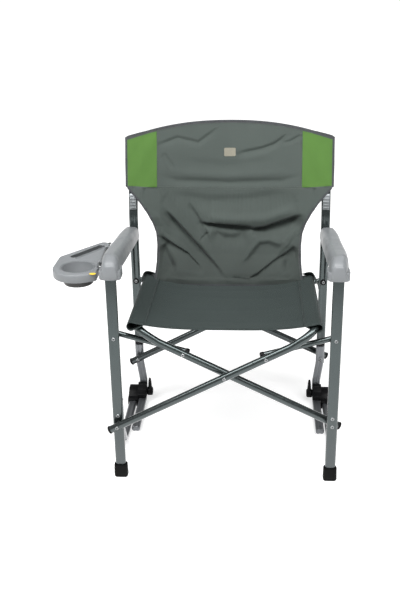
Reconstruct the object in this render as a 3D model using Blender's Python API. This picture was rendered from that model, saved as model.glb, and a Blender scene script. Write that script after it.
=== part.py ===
"""Side-folding director chair with a fold-up cup tray.

Design frame: x to the right as seen from the front, y to the back, z up, floor at z = 0,
x = 0 midway between the legs and y = 0 through the front legs. "left" is the side at -x.
The empty "chair" moves this frame so that the middle of the object's footprint is at the
world origin. Both scissor tubes turn about axes that dip TILT towards the back.
"""
import math

import bmesh
import bpy
from mathutils import Vector

# ---------------------------------------------------------------- driving dimensions (metres)
CHAIR_SHIFT = (0.062735, -0.25395)  # design frame to world: middle of the footprint to the origin

GAP = 0.0005                      # clearance between pieces that only touch
RUN = 0.0006                      # clearance at a face that turns against another
BORE_REACH = 0.016                # half the length of a bore's cutter
LEG_X = 0.280                     # half the distance between the two side frames
OVAL_W, OVAL_D = 0.028, 0.016     # front leg tube, width across and depth
OVAL_R = 0.006                    # corner radius of every flat-oval tube
FOOT_H = 0.038
FOOT_SOLE = 0.006
LEG_TOP = 0.602

UPRIGHT_W = 0.026
UPRIGHT_Y = 0.4605
UPRIGHT_LOW = 0.118
UPRIGHT_BEND = 0.585
UPRIGHT_TOP = 0.803
BACK_LEAN = math.radians(14.8)

REAR_LEG_W = 0.024
REAR_LEG_X = 0.2775
REAR_LEG_Y = 0.4435
REAR_LEG_TOP = 0.184
RUNNER_X = 0.269                  # the rear leg's forward run along the floor
RUNNER_END = 0.224
RAIL_X = 0.297                    # the ground rail beside it
RAIL_TOP_X = 0.2845
RAIL_TOP_Y = 0.0445
RAIL_TOP_Z = 0.206
RAIL_END = 0.437
RAIL_Z = 0.0105                   # centre height of both floor tubes
FLOOR_BEND = 0.045

TILT = math.radians(3.0)          # dip of the scissor axes towards the back
PIVOT_Z = 0.164                   # low pivots, at the front legs
SCISSOR_ANGLE = math.radians(27.2)
SEAT_RAIL_X = 0.2355
SEAT_RAIL_H = 0.441
SEAT_BEND = 0.050
TUBE_R = 0.0100
TUBE_OVERHANG = 0.020             # the low end of a scissor tube past its pivot
FRONT_A, REAR_A = -0.0316, 0.414  # place of tube A along the axes, at the front and the rear
CROSS_GAP = 0.030                 # tube A to tube B, centre to centre, at the crossing
FRONT_B_LOW, REAR_B_LOW = 0.0114, 0.4753

LINK_R = 0.0075
PLUG_LIP = 0.0007                 # how far an end plug stands proud of its tube
PLUG_LENGTH = 0.006
LINK_Z = 0.410                    # outer link pivots, at the front legs
LINK_ALONG = 0.119                # inner link pivots, from the crossing along the tube
LINK_PLANES = {("front", "left"): 0.0150, ("front", "right"): -0.0030,
               ("rear", "left"): 0.4577, ("rear", "right"): 0.4577}

RIVET_R = 0.0040
RIVET_HEAD_R = 0.0065
RIVET_HEAD = 0.0020
BORE_R = 0.0045

TRAY_TOP = 0.5735
TRAY_THICK = 0.022
TRAY_RECESS = 0.004
CUP_CENTRE = (0.3760, 0.0790)
CUP_R = 0.044
TRAY_FRONT_R = 0.064
TRAY_SIDE = (0.4140, 0.1450, 0.024)
TRAY_REAR = (0.3370, 0.2560, 0.0150)
TRAY_PIN = (0.3170, 0.5835)
TRAY_PIN_Y = (0.052, 0.232)
TRAY_PIN_R = 0.0030
TRAY_LUG_R = 0.0062
TRAY_LUG_ROOT = (0.3262, 0.5625, 0.0045)  # where a lug grows out of the plate
TRAY_LUGS = ((0.075, 0.095), (0.190, 0.210))
TRAY_EDGE = TRAY_PIN[0] + 0.0045  # the tray's straight side, along the arm
TRAY_WEB = ((0.3300, 0.1290, 0.0050), (0.3880, 0.1414, 0.0060), (0.3284, 0.2285, 0.0050))
TRAY_SLOT = ((0.3993, 0.1566, 0.0095), (0.3413, 0.2386, 0.0095))
CUP_WALL = 0.003
CUP_WAIST = 0.545                 # height where the ring under the tray narrows
CUP_LOW = 0.530
CUP_LIP = 0.010                   # width of the inward lip at the ring's bottom

HEEL_AXIS = (0.430, 0.0255)       # y and z of the heel bolt and knob
HEEL_INNER, HEEL_OUTER = 0.2820, 0.3120
HEEL_BORE_R = 0.0034
HEEL_BOLT_R = 0.0030
KNOB_R = 0.0140
KNOB_DEPTH = 0.013
WING_TOP = 0.058                  # tip of the knob's wing above its axis

# moulded arm: y, inner and outer distance from the middle plane, top and bottom height
ARM_STATIONS = ((-0.0310, 0.2630, 0.2930, 0.6080, 0.5800), (-0.0270, 0.2560, 0.2985, 0.6175, 0.5775),
                (-0.0150, 0.2530, 0.3020, 0.6255, 0.5765), (0.0050, 0.2530, 0.3040, 0.6295, 0.5765),
                (0.0220, 0.2565, 0.3060, 0.6290, 0.5765), (0.0330, 0.2580, 0.3075, 0.6275, 0.5760),
                (0.1200, 0.2580, 0.3110, 0.6130, 0.5630), (0.2400, 0.2590, 0.3105, 0.5950, 0.5475),
                (0.3600, 0.2610, 0.3130, 0.5750, 0.5300), (0.4515, 0.2630, 0.3110, 0.5580, 0.5180))
ARM_CORNER = 0.009
ARM_WALL_X = 0.3115               # outer face where the tray's pin enters

SEAT_SAG = 0.014
SEAT_THICK = 0.0025
SEAT_FRONT, SEAT_REAR = -0.0060, 0.3880
BACK_THICK = 0.004
BACK_HOLLOW = 0.024               # how far the back panel bows behind the uprights' faces
BACK_LOW = 0.437
BACK_BELLY = 0.052                # how far its lower edge comes forward to the seat
# half the back panel's width at each height
BACK_OUTLINE = ((BACK_LOW, 0.2140), (0.495, 0.2120), (0.560, 0.2240), (0.605, 0.2460),
                (0.645, 0.2760), (0.668, 0.2950), (0.805, 0.2990), (0.828, 0.2650), (0.856, 0.0800))


# ---------------------------------------------------------------- frames and small geometry
def on_axes(x, along, height):
    """A point given across, along and square to the scissor axes."""
    return Vector((x, along * math.cos(TILT) + height * math.sin(TILT),
                   height * math.cos(TILT) - along * math.sin(TILT)))


AXIS = Vector((0.0, math.cos(TILT), -math.sin(TILT)))
UP_AXIS = Vector((0.0, math.sin(TILT), math.cos(TILT)))
PIVOT_H = PIVOT_Z * math.cos(TILT)
LINK_H = LINK_Z * math.cos(TILT)
ARM = LEG_X / math.cos(SCISSOR_ANGLE)
CROSS_H = PIVOT_H + LEG_X * math.tan(SCISSOR_ANGLE)
LINK_IN_X = LINK_ALONG * math.cos(SCISSOR_ANGLE)
LINK_IN_H = CROSS_H + LINK_ALONG * math.sin(SCISSOR_ANGLE)


def round_section(radius, sides):
    step = 2 * math.pi / sides
    return [(radius * math.cos((i + 0.5) * step), radius * math.sin((i + 0.5) * step))
            for i in range(sides)]


def oval_section(width, depth, radius=OVAL_R, steps=2):
    """A rectangle with round corners, counter-clockwise from the right side."""
    points = []
    for corner, (sx, sy) in enumerate(((1, 1), (-1, 1), (-1, -1), (1, -1))):
        cx = sx * (width / 2 - radius)
        cy = sy * (depth / 2 - radius)
        for i in range(steps + 1):
            angle = math.pi / 2 * (corner + i / steps)
            points.append((cx + radius * math.cos(angle), cy + radius * math.sin(angle)))
    return points


def rounded_path(points, radii, steps=5):
    """Straight runs joined by arcs; radii has one value for each inner point."""
    path = [Vector(points[0])]
    for i, radius in enumerate(radii, start=1):
        corner = Vector(points[i])
        back = (Vector(points[i - 1]) - corner).normalized()
        ahead = (Vector(points[i + 1]) - corner).normalized()
        half = back.angle(ahead) / 2
        reach = radius / math.tan(half)
        centre = corner + (back + ahead).normalized() * (radius / math.sin(half))
        start = corner + back * reach - centre
        end = corner + ahead * reach - centre
        sweep = start.angle(end)
        for k in range(steps + 1):
            t = k / steps
            mix = start * math.sin((1 - t) * sweep) + end * math.sin(t * sweep)
            path.append(centre + mix / math.sin(sweep))
    path.append(Vector(points[-1]))
    return path


def loft(rings):
    """One closed body through rings of equal length, capped at both ends."""
    bm = bmesh.new()
    loops = [[bm.verts.new(p) for p in ring] for ring in rings]
    count = len(loops[0])
    for a, b in zip(loops, loops[1:]):
        for i in range(count):
            j = (i + 1) % count
            bm.faces.new((a[i], a[j], b[j], b[i]))
    bm.faces.new(loops[0][::-1])
    bm.faces.new(loops[-1])
    bmesh.ops.recalc_face_normals(bm, faces=bm.faces)
    return bm


def sweep(path, section, across):
    """Carry a section along a path; its first axis stays as near to `across` as it can."""
    rings = []
    for i, point in enumerate(path):
        ahead = path[min(i + 1, len(path) - 1)] - point
        behind = point - path[max(i - 1, 0)]
        tangent = (ahead.normalized() + behind.normalized()).normalized()
        first = (across - tangent * across.dot(tangent)).normalized()
        second = tangent.cross(first)
        rings.append([point + first * u + second * v for u, v in section])
    return loft(rings)


def turned(start, axis, stations, sides=10):
    """A turned body: stations are (distance along the axis, radius)."""
    axis = axis.normalized()
    first = axis.orthogonal().normalized()
    second = axis.cross(first)
    return loft([[start + axis * d + first * u + second * v
                  for u, v in round_section(r, sides)] for d, r in stations])


def extruded(outline, place):
    """A prism between two outlines, place(u, v, end) giving the point for end 0 and 1."""
    return loft([[place(u, v, end) for u, v in outline] for end in (0, 1)])


# ---------------------------------------------------------------- scene, materials, bodies
def clear_scene():
    for obj in list(bpy.data.objects):
        bpy.data.objects.remove(obj, do_unlink=True)


def material(name, colour, roughness, metallic):
    mat = bpy.data.materials.new(name)
    mat.use_nodes = True
    shader = mat.node_tree.nodes["Principled BSDF"]
    shader.inputs["Base Color"].default_value = (*colour, 1.0)
    shader.inputs["Roughness"].default_value = roughness
    shader.inputs["Metallic"].default_value = metallic
    mat.diffuse_color = (*colour, 1.0)
    return mat


def make_materials():
    return {
        "steel_frame": material("steel_frame", (0.10, 0.125, 0.125), 0.35, 0.7),
        "steel_pale": material("steel_pale", (0.22, 0.235, 0.25), 0.40, 0.6),
        "zinc": material("zinc", (0.62, 0.63, 0.64), 0.25, 1.0),
        "plastic_grey": material("plastic_grey", (0.33, 0.345, 0.36), 0.45, 0.0),
        "plastic_black": material("plastic_black", (0.012, 0.012, 0.013), 0.45, 0.0),
        "rubber": material("rubber", (0.010, 0.010, 0.010), 0.65, 0.0),
        "fabric_seat": material("fabric_seat", (0.055, 0.075, 0.07), 0.85, 0.0),
        "fabric_back": material("fabric_back", (0.10, 0.125, 0.115), 0.85, 0.0),
    }


class Chair:
    """Keeps the body empties and makes named objects under them."""

    def __init__(self):
        self.materials = make_materials()
        self.empties = {}
        self.places = {}
        self.body("chair", None, Vector((0, 0, 0)))
        self.empties["chair"].location = (*CHAIR_SHIFT, 0.0)

    def body(self, name, parent, place):
        empty = bpy.data.objects.new(name + "_axis" if parent else name, None)
        bpy.context.scene.collection.objects.link(empty)
        self.empties[name] = empty
        self.places[name] = place
        if parent:
            empty.parent = self.empties[parent]
            empty.location = place - self.places[parent]

    def part(self, name, body, bm, mat):
        """An object whose mesh was drawn in the design frame, hung under its body's empty."""
        bmesh.ops.translate(bm, verts=bm.verts, vec=-self.places[body])
        mesh = bpy.data.meshes.new(name)
        bm.to_mesh(mesh)
        bm.free()
        mesh.shade_smooth()
        mesh.set_sharp_from_angle(angle=math.radians(40))
        obj = bpy.data.objects.new(name, mesh)
        bpy.context.scene.collection.objects.link(obj)
        obj.parent = self.empties[body]
        mesh.materials.append(self.materials[mat])
        return obj

    def cut(self, obj, body, bm, label):
        """Take a cutter away from an object."""
        cutter = self.part(obj.name + "_" + label, body, bm, "zinc")
        cutter.hide_render = True
        cutter.display_type = "WIRE"
        modifier = obj.modifiers.new(label, "BOOLEAN")
        modifier.operation = "DIFFERENCE"
        modifier.solver = "EXACT"
        modifier.object = cutter

    def bore(self, obj, body, centre, axis, reach, radius=BORE_R, label="bore"):
        start = centre - axis.normalized() * reach
        self.cut(obj, body, turned(start, axis, [(0, radius), (2 * reach, radius)]), label)


def rivet(chair, name, body, x, height, front, back, spacer=None):
    """A rivet along the scissor axes, from the face at `front` to the face at `back`."""
    stations = [(-RIVET_HEAD - GAP, RIVET_HEAD_R * 0.7), (-RIVET_HEAD * 0.5 - GAP, RIVET_HEAD_R),
                (-GAP, RIVET_HEAD_R), (-GAP, RIVET_R)]
    if spacer:
        a, b = spacer[0] - front, spacer[1] - front
        stations += [(a, RIVET_R), (a, RIVET_HEAD_R), (b, RIVET_HEAD_R), (b, RIVET_R)]
    if back is not None:
        end = back - front + GAP
        stations += [(end, RIVET_R), (end, RIVET_HEAD_R), (end + 0.0015, RIVET_HEAD_R)]
    elif spacer:
        stations.pop()
    bm = turned(on_axes(x, front, height), AXIS, stations, sides=10)
    bmesh.ops.remove_doubles(bm, verts=bm.verts, dist=1e-6)
    chair.part(name, body, bm, "zinc")


def leg_along(y, height):
    """Distance along the scissor axes of the upright plane y at a height square to them."""
    return (y - height * math.sin(TILT)) / math.cos(TILT)


# ---------------------------------------------------------------- side frames
def side_frame(chair, side, sign, body):
    front_leg(chair, side, sign, body)
    armrest(chair, side, sign, body)
    back_upright(chair, side, sign, body)
    rear_leg(chair, side, sign, body)
    ground_rail(chair, side, sign, body)
    heel(chair, side, sign, body)


def front_leg(chair, side, sign, body):
    x = sign * LEG_X
    path = [Vector((x, 0, FOOT_SOLE + GAP)), Vector((x, 0, LEG_TOP))]
    leg = chair.part(f"front_leg_{side}", body,
                     sweep(path, oval_section(OVAL_W, OVAL_D), Vector((1, 0, 0))), "steel_frame")
    chair.bore(leg, body, on_axes(x, leg_along(0, PIVOT_H), PIVOT_H), AXIS, BORE_REACH, label="pivot")
    chair.bore(leg, body, on_axes(x, leg_along(0, LINK_H), LINK_H), AXIS, BORE_REACH, label="link")

    outer = [(0.0335, 0.0215, 0.0), (0.0365, 0.0245, 0.004), (0.0350, 0.0230, FOOT_H)]
    inner = [(OVAL_W + 2 * GAP, OVAL_D + 2 * GAP, FOOT_H),
             (OVAL_W + 2 * GAP, OVAL_D + 2 * GAP, FOOT_SOLE)]
    rings = [[Vector((x + u, v, z)) for u, v in oval_section(w, d, OVAL_R)]
             for w, d, z in outer + inner]
    chair.part(f"front_foot_{side}", body, loft(rings), "rubber")


def armrest(chair, side, sign, body):
    """Moulded arm lofted through its stations, with a socket for the front leg."""
    rings = []
    for y, inner, outer, top, bottom in ARM_STATIONS:
        middle = sign * (inner + outer) / 2
        rings.append([Vector((middle + u, y, (top + bottom) / 2 + v))
                      for u, v in oval_section(outer - inner, top - bottom, ARM_CORNER, 3)])
    arm = chair.part(f"armrest_{side}", body, loft(rings), "plastic_grey")
    x = sign * LEG_X
    socket = [Vector((x, 0, 0.55)), Vector((x, 0, LEG_TOP + GAP))]
    section = oval_section(OVAL_W + 2 * GAP, OVAL_D + 2 * GAP)
    chair.cut(arm, body, sweep(socket, section, Vector((1, 0, 0))), "socket")


def upright_point(x, z):
    """Centre of the upright at a height above its bend."""
    return Vector((x, UPRIGHT_Y + (z - UPRIGHT_BEND) * math.tan(BACK_LEAN), z))


def back_upright(chair, side, sign, body):
    x = sign * LEG_X
    path = rounded_path([(x, UPRIGHT_Y, UPRIGHT_LOW), (x, UPRIGHT_Y, UPRIGHT_BEND),
                         upright_point(x, UPRIGHT_TOP)], [0.10], steps=3)
    tube = chair.part(f"back_upright_{side}", body,
                      sweep(path, oval_section(UPRIGHT_W, OVAL_D), Vector((1, 0, 0))),
                      "steel_frame")
    for height, label in ((PIVOT_H, "pivot"), (LINK_H, "link")):
        centre = on_axes(x, leg_along(UPRIGHT_Y, height), height)
        chair.bore(tube, body, centre, AXIS, BORE_REACH, label=label)

    low, high = upright_point(x, 0.607), upright_point(x, 0.652)
    out = Vector((0, -math.cos(BACK_LEAN), math.sin(BACK_LEAN))) * (OVAL_D / 2 + GAP + 0.001)
    plate = [low + out, high + out]
    chair.part(f"splice_plate_{side}", body,
               sweep(plate, oval_section(0.020, 0.002, 0.0008, 1), Vector((1, 0, 0))),
               "steel_pale")


def rear_leg(chair, side, sign, body):
    """The L-shaped tube behind: up to the upright, and forward along the floor."""
    corners = [(sign * REAR_LEG_X, REAR_LEG_Y, REAR_LEG_TOP),
               (sign * REAR_LEG_X, REAR_LEG_Y, 0.126), (sign * RUNNER_X, REAR_LEG_Y, 0.062),
               (sign * RUNNER_X, REAR_LEG_Y, RAIL_Z), (sign * RUNNER_X, RUNNER_END, RAIL_Z)]
    path = rounded_path(corners, [0.05, 0.05, FLOOR_BEND], steps=4)
    tube = chair.part(f"rear_leg_{side}", body,
                      sweep(path, oval_section(REAR_LEG_W, OVAL_D), Vector((1, 0, 0))),
                      "steel_pale")
    x = sign * LEG_X
    centre = on_axes(x, leg_along(REAR_LEG_Y, PIVOT_H), PIVOT_H)
    chair.bore(tube, body, centre, AXIS, BORE_REACH, label="pivot")
    bolt = Vector((sign * RUNNER_X, *HEEL_AXIS))
    chair.bore(tube, body, bolt, Vector((1, 0, 0)), BORE_REACH, HEEL_BORE_R, label="heel")
    cap(chair, f"rear_leg_cap_{side}", body, sign * REAR_LEG_X, REAR_LEG_Y, REAR_LEG_TOP)


def cap(chair, name, body, x, y, z):
    """A domed plug on the open top end of a flat-oval tube."""
    rings = [[Vector((x + u, y + v, z + GAP + lift))
              for u, v in oval_section(REAR_LEG_W + grow, OVAL_D + grow, OVAL_R)]
             for grow, lift in ((0.001, 0.0), (0.001, 0.003), (-0.003, 0.007), (-0.0035, 0.0075))]
    chair.part(name, body, loft(rings), "plastic_black")


def ground_rail(chair, side, sign, body):
    """The floor tube: down behind the front leg, back along the floor to the heel."""
    corners = [(sign * RAIL_TOP_X, RAIL_TOP_Y, RAIL_TOP_Z), (sign * RAIL_TOP_X, RAIL_TOP_Y, 0.134),
               (sign * RAIL_X, 0.165, RAIL_Z), (sign * RAIL_X, RAIL_END, RAIL_Z)]
    path = rounded_path(corners, [0.05, 0.06], steps=4)
    tube = chair.part(f"ground_rail_{side}", body,
                      sweep(path, oval_section(REAR_LEG_W, OVAL_D), Vector((1, 0, 0))),
                      "steel_pale")
    centre = on_axes(sign * LEG_X, leg_along(RAIL_TOP_Y, PIVOT_H), PIVOT_H)
    chair.bore(tube, body, centre, AXIS, BORE_REACH, label="pivot")
    cap(chair, f"ground_rail_cap_{side}", body, sign * RAIL_TOP_X, RAIL_TOP_Y, RAIL_TOP_Z)


def heel(chair, side, sign, body):
    """The black knuckle that joins both floor tubes, its bolt, and the turning knob."""
    y, z = HEEL_AXIS
    outline = [(0.376, 0.0), (0.456, 0.0), (0.4565, 0.020), (0.451, 0.035), (0.440, 0.0435),
               (0.424, 0.0440), (0.408, 0.037), (0.396, 0.0235), (0.379, 0.0235)]
    block = chair.part(f"heel_knuckle_{side}", body,
                       extruded(outline, lambda u, v, end: Vector(
                           (sign * (HEEL_INNER + (HEEL_OUTER - HEEL_INNER) * end), u, v))),
                       "plastic_black")
    pocket = [Vector((sign * RAIL_X, 0.36, RAIL_Z)), Vector((sign * RAIL_X, RAIL_END + GAP, RAIL_Z))]
    section = oval_section(REAR_LEG_W + 2 * GAP, OVAL_D + 2 * GAP)
    chair.cut(block, body, sweep(pocket, section, Vector((1, 0, 0))), "pocket")
    chair.bore(block, body, Vector((sign * RAIL_X, y, z)), Vector((1, 0, 0)), 0.02, HEEL_BORE_R,
               label="heel")

    across = Vector((-sign, 0, 0))
    head = RIVET_HEAD
    start = Vector((sign * (HEEL_OUTER + GAP + head), y, z))
    reach = HEEL_OUTER + GAP + head - (RUNNER_X - REAR_LEG_W / 2 + GAP)
    bm = turned(start, across, [(0, RIVET_HEAD_R), (head, RIVET_HEAD_R), (head, HEEL_BOLT_R),
                                (reach, HEEL_BOLT_R)])
    chair.part(f"heel_bolt_{side}", body, bm, "zinc")

    knob_body = f"knob_{side}"
    face = Vector((sign * (RUNNER_X - REAR_LEG_W / 2 - GAP), y, z))
    bm = turned(face, across, [(0, KNOB_R - 0.002), (0.002, KNOB_R), (KNOB_DEPTH - 0.003, KNOB_R),
                               (KNOB_DEPTH, KNOB_R - 0.003)], 16)
    knob = chair.part(f"heel_knob_{side}", knob_body, bm, "plastic_black")
    tab = loft([[Vector((face.x + across.x * (0.002 + d), y + u, h))
                 for u, d in ((-w, 0), (w, 0), (w, 0.006), (-w, 0.006))]
                for w, h in ((0.006, z), (0.006, z + 0.040), (0.004, z + WING_TOP))])
    wing = chair.part(f"heel_knob_{side}_wing", knob_body, tab, "plastic_black")
    wing.hide_render = True
    wing.display_type = "WIRE"
    union = knob.modifiers.new("wing", "BOOLEAN")
    union.operation = "UNION"
    union.solver = "EXACT"
    union.object = wing


# ---------------------------------------------------------------- scissor frame
def scissor_tube(chair, letter, sign):
    """Bent tube: low end, up through the crossing, seat rail, and down again at the rear."""
    body = f"x_tube_{letter}"
    if letter == "a":
        low = {"front": FRONT_A, "rear": REAR_A}
        cross = dict(low)
    else:
        low = {"front": FRONT_B_LOW, "rear": REAR_B_LOW}
        cross = {"front": FRONT_A + CROSS_GAP, "rear": REAR_A + CROSS_GAP}

    def point(end, r, lift=0.0):
        """A point of the diagonal, r from the crossing towards the seat rail."""
        along = cross[end] + (cross[end] - low[end]) * r / ARM
        return on_axes(sign * r * math.cos(SCISSOR_ANGLE), along,
                       CROSS_H + r * math.sin(SCISSOR_ANGLE) + lift)

    def rail(end):
        along = point(end, SEAT_RAIL_X / math.cos(SCISSOR_ANGLE)).dot(AXIS)
        return on_axes(sign * SEAT_RAIL_X, along, SEAT_RAIL_H)

    bend = 0.170 / math.cos(SCISSOR_ANGLE)
    corners = [point("front", -ARM - TUBE_OVERHANG), point("front", bend), rail("front"),
               rail("rear"), point("rear", bend), point("rear", -ARM - TUBE_OVERHANG)]
    path = rounded_path(corners, [0.12, SEAT_BEND, SEAT_BEND, 0.12], steps=4)
    tube = chair.part(body, body, sweep(path, round_section(TUBE_R, 12), UP_AXIS), "steel_frame")
    for end in ("front", "rear"):
        for r, label in ((-ARM, "pivot"), (0.0, "cross"), (LINK_ALONG, "link")):
            chair.bore(tube, body, point(end, r), AXIS, BORE_REACH, label=f"{end}_{label}")
        tip = point(end, -ARM - TUBE_OVERHANG)
        outward = (tip - point(end, 0)).normalized()
        bm = turned(tip + outward * GAP, outward,
                    [(0, TUBE_R + PLUG_LIP), (0.004, TUBE_R + PLUG_LIP),
                     (PLUG_LENGTH, TUBE_R - PLUG_LIP)], 12)
        chair.part(f"{body}_cap_{end}", body, bm, "plastic_black")
    return {end: {"low": low[end], "cross": cross[end], "link": point(end, LINK_ALONG).dot(AXIS)}
            for end in ("front", "rear")}


def scissor_rivets(chair, tube_a, tube_b):
    half_leg = OVAL_D / 2
    for end in ("front", "rear"):
        a, b = tube_a[end], tube_b[end]
        rivet(chair, f"cross_rivet_{end}", "x_tube_a", 0, CROSS_H, a["cross"] - TUBE_R,
              b["cross"] + TUBE_R + RUN,
              (a["cross"] + TUBE_R + RUN, b["cross"] - TUBE_R - RUN))
    leg = leg_along(0, PIVOT_H)
    rail_back = leg_along(RAIL_TOP_Y, PIVOT_H) + half_leg
    rivet(chair, "front_pivot_rivet_left", "chair", -LEG_X, PIVOT_H, tube_a["front"]["low"] - TUBE_R,
          rail_back, (tube_a["front"]["low"] + TUBE_R + RUN, leg - half_leg - RUN))
    rivet(chair, "front_pivot_rivet_right", "right_side", LEG_X, PIVOT_H, leg - half_leg,
          rail_back)
    back = leg_along(UPRIGHT_Y, PIVOT_H) + half_leg
    rear_front = leg_along(REAR_LEG_Y, PIVOT_H) - half_leg
    rivet(chair, "rear_pivot_rivet_left", "chair", -LEG_X, PIVOT_H, tube_a["rear"]["low"] - TUBE_R,
          back, (tube_a["rear"]["low"] + TUBE_R + RUN, rear_front - RUN))
    rivet(chair, "rear_pivot_rivet_right", "right_side", LEG_X, PIVOT_H, rear_front,
          tube_b["rear"]["low"] + TUBE_R + RUN,
          (back + RUN, tube_b["rear"]["low"] - TUBE_R - RUN))


def links(chair, tube_a, tube_b):
    for end in ("front", "rear"):
        link(chair, end, "left", -1, "chair", tube_b[end]["link"])
        link(chair, end, "right", 1, "right_side", tube_a[end]["link"])


def link(chair, end, side, sign, frame, tube_along):
    body = f"link_{end}_{side}"
    plane = LINK_PLANES[end, side]
    outer = on_axes(sign * LEG_X, plane, LINK_H)
    inner = on_axes(sign * LINK_IN_X, plane, LINK_IN_H)
    along = (inner - outer).normalized()
    path = [outer - along * 0.012, inner + along * 0.010]
    bar = chair.part(f"link_{end}_{side}", body,
                     sweep(path, round_section(LINK_R, 10), UP_AXIS), "steel_frame")
    chair.bore(bar, body, outer, AXIS, BORE_REACH, label="pivot")
    bm = turned(path[1] + along * GAP, along, [(0, LINK_R + PLUG_LIP), (0.004, LINK_R + PLUG_LIP),
                                               (PLUG_LENGTH, LINK_R - PLUG_LIP)])
    chair.part(f"link_{end}_{side}_cap", body, bm, "plastic_black")

    wall_y = 0.0 if end == "front" else UPRIGHT_Y
    wall = leg_along(wall_y, LINK_H)
    spacer = (wall + OVAL_D / 2 + RUN, plane - LINK_R - RUN)
    spacer = spacer if spacer[1] - spacer[0] > 0.002 else None
    rivet(chair, f"link_{end}_{side}_rivet", frame, sign * LEG_X, LINK_H,
          wall - OVAL_D / 2, plane + LINK_R, spacer)
    tube_body = "x_tube_b" if side == "left" else "x_tube_a"
    rivet(chair, f"tube_{end}_{side}_stud", tube_body, sign * LINK_IN_X, LINK_IN_H,
          tube_along - TUBE_R, None,
          (tube_along + TUBE_R + RUN, plane - LINK_R - 2 * RUN))


# ---------------------------------------------------------------- cup tray
def hull_outline(circles, steps):
    """Convex outline round circles (x, y, radius) listed counter-clockwise."""
    points = []
    count = len(circles)
    for i, (x, y, r) in enumerate(circles):
        def tangent_angle(first, second):
            dx, dy = second[0] - first[0], second[1] - first[1]
            bearing = math.atan2(dy, dx)
            return bearing - math.pi / 2 + math.asin((second[2] - first[2]) * -1 / math.hypot(dx, dy))
        start = tangent_angle(circles[i - 1], circles[i])
        end = tangent_angle(circles[i], circles[(i + 1) % count])
        while end < start:
            end += 2 * math.pi
        n = max(2, round(steps * (end - start) / (2 * math.pi)))
        points += [(x + r * math.cos(start + (end - start) * k / n),
                    y + r * math.sin(start + (end - start) * k / n)) for k in range(n + 1)]
    return points


def tray(chair):
    """Outer distances are from the middle plane; the tray hangs on the left armrest."""
    body = "tray"
    corner = 0.010
    cup = (*CUP_CENTRE, TRAY_FRONT_R)
    circles = [(TRAY_EDGE + corner, 0.030 + corner, corner), cup, TRAY_SIDE, TRAY_REAR]

    def prism(outline, low, high):
        return extruded(outline, lambda u, v, end: Vector((-u, v, low + (high - low) * end)))

    outline = hull_outline(circles, 28)
    bottom = TRAY_TOP - TRAY_THICK
    plate = chair.part("cup_tray", body, prism(outline, bottom, TRAY_TOP), "plastic_grey")

    recess = prism(hull_outline(TRAY_WEB, 16), TRAY_TOP - TRAY_RECESS, TRAY_TOP + 0.01)
    chair.cut(plate, body, recess, "web")
    ring = [(CUP_CENTRE[0] + CUP_R * math.cos(a), CUP_CENTRE[1] + CUP_R * math.sin(a))
            for a in (2 * math.pi * k / 28 for k in range(28))]
    chair.cut(plate, body, prism(ring, bottom - 0.01, TRAY_TOP + 0.01), "cup")
    chair.cut(plate, body, prism(hull_outline(TRAY_SLOT, 12), bottom - 0.01, TRAY_TOP + 0.01), "slot")

    for number, (a, b) in enumerate(TRAY_LUGS):
        eye = hull_outline([(*TRAY_PIN, TRAY_LUG_R), TRAY_LUG_ROOT], 14)
        lug = chair.part(f"cup_tray_lug_{number}", body,
                         extruded(eye, lambda u, v, end: Vector((-u, a + (b - a) * end, v))),
                         "plastic_grey")
        lug.hide_render = True
        lug.display_type = "WIRE"
        union = plate.modifiers.new("lug", "BOOLEAN")
        union.operation = "UNION"
        union.solver = "EXACT"
        union.object = lug
    pin_centre = Vector((-TRAY_PIN[0], sum(TRAY_PIN_Y) / 2, TRAY_PIN[1]))
    chair.bore(plate, body, pin_centre, Vector((0, 1, 0)), 0.12, TRAY_PIN_R + GAP, label="pin")

    top = TRAY_TOP - 0.0015
    waist_r = CUP_R - 0.004
    low_r = CUP_R - 0.006
    stations = [(top, CUP_R - GAP), (CUP_WAIST, waist_r), (CUP_LOW, low_r),
                (CUP_LOW, low_r - CUP_LIP), (CUP_LOW + CUP_WALL, low_r - CUP_LIP),
                (CUP_LOW + CUP_WALL, low_r - CUP_WALL), (CUP_WAIST, waist_r - CUP_WALL),
                (top, CUP_R - CUP_WALL)]
    bm = bmesh.new()
    profile = [Vector((-CUP_CENTRE[0] + r, CUP_CENTRE[1], z)) for z, r in stations]
    verts = [bm.verts.new(p) for p in profile]
    edges = [bm.edges.new((verts[i], verts[(i + 1) % len(verts)])) for i in range(len(verts))]
    bmesh.ops.spin(bm, geom=verts + edges, cent=(-CUP_CENTRE[0], CUP_CENTRE[1], 0), axis=(0, 0, 1),
                   angle=2 * math.pi, steps=24, use_merge=True)
    bmesh.ops.remove_doubles(bm, verts=bm.verts, dist=1e-5)
    bmesh.ops.recalc_face_normals(bm, faces=bm.faces)
    chair.part("cup_ring", body, bm, "plastic_black")

    corners = [(-ARM_WALL_X - GAP, TRAY_PIN_Y[0], TRAY_PIN[1]), (-TRAY_PIN[0], TRAY_PIN_Y[0], TRAY_PIN[1]),
               (-TRAY_PIN[0], TRAY_PIN_Y[1], TRAY_PIN[1]),
               (-ARM_WALL_X - GAP, TRAY_PIN_Y[1], TRAY_PIN[1])]
    path = rounded_path(corners, [0.004, 0.004], steps=3)
    chair.part("tray_hinge_pin", "chair", sweep(path, round_section(TRAY_PIN_R, 8),
                                                Vector((0, 0, 1))), "zinc")


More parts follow.
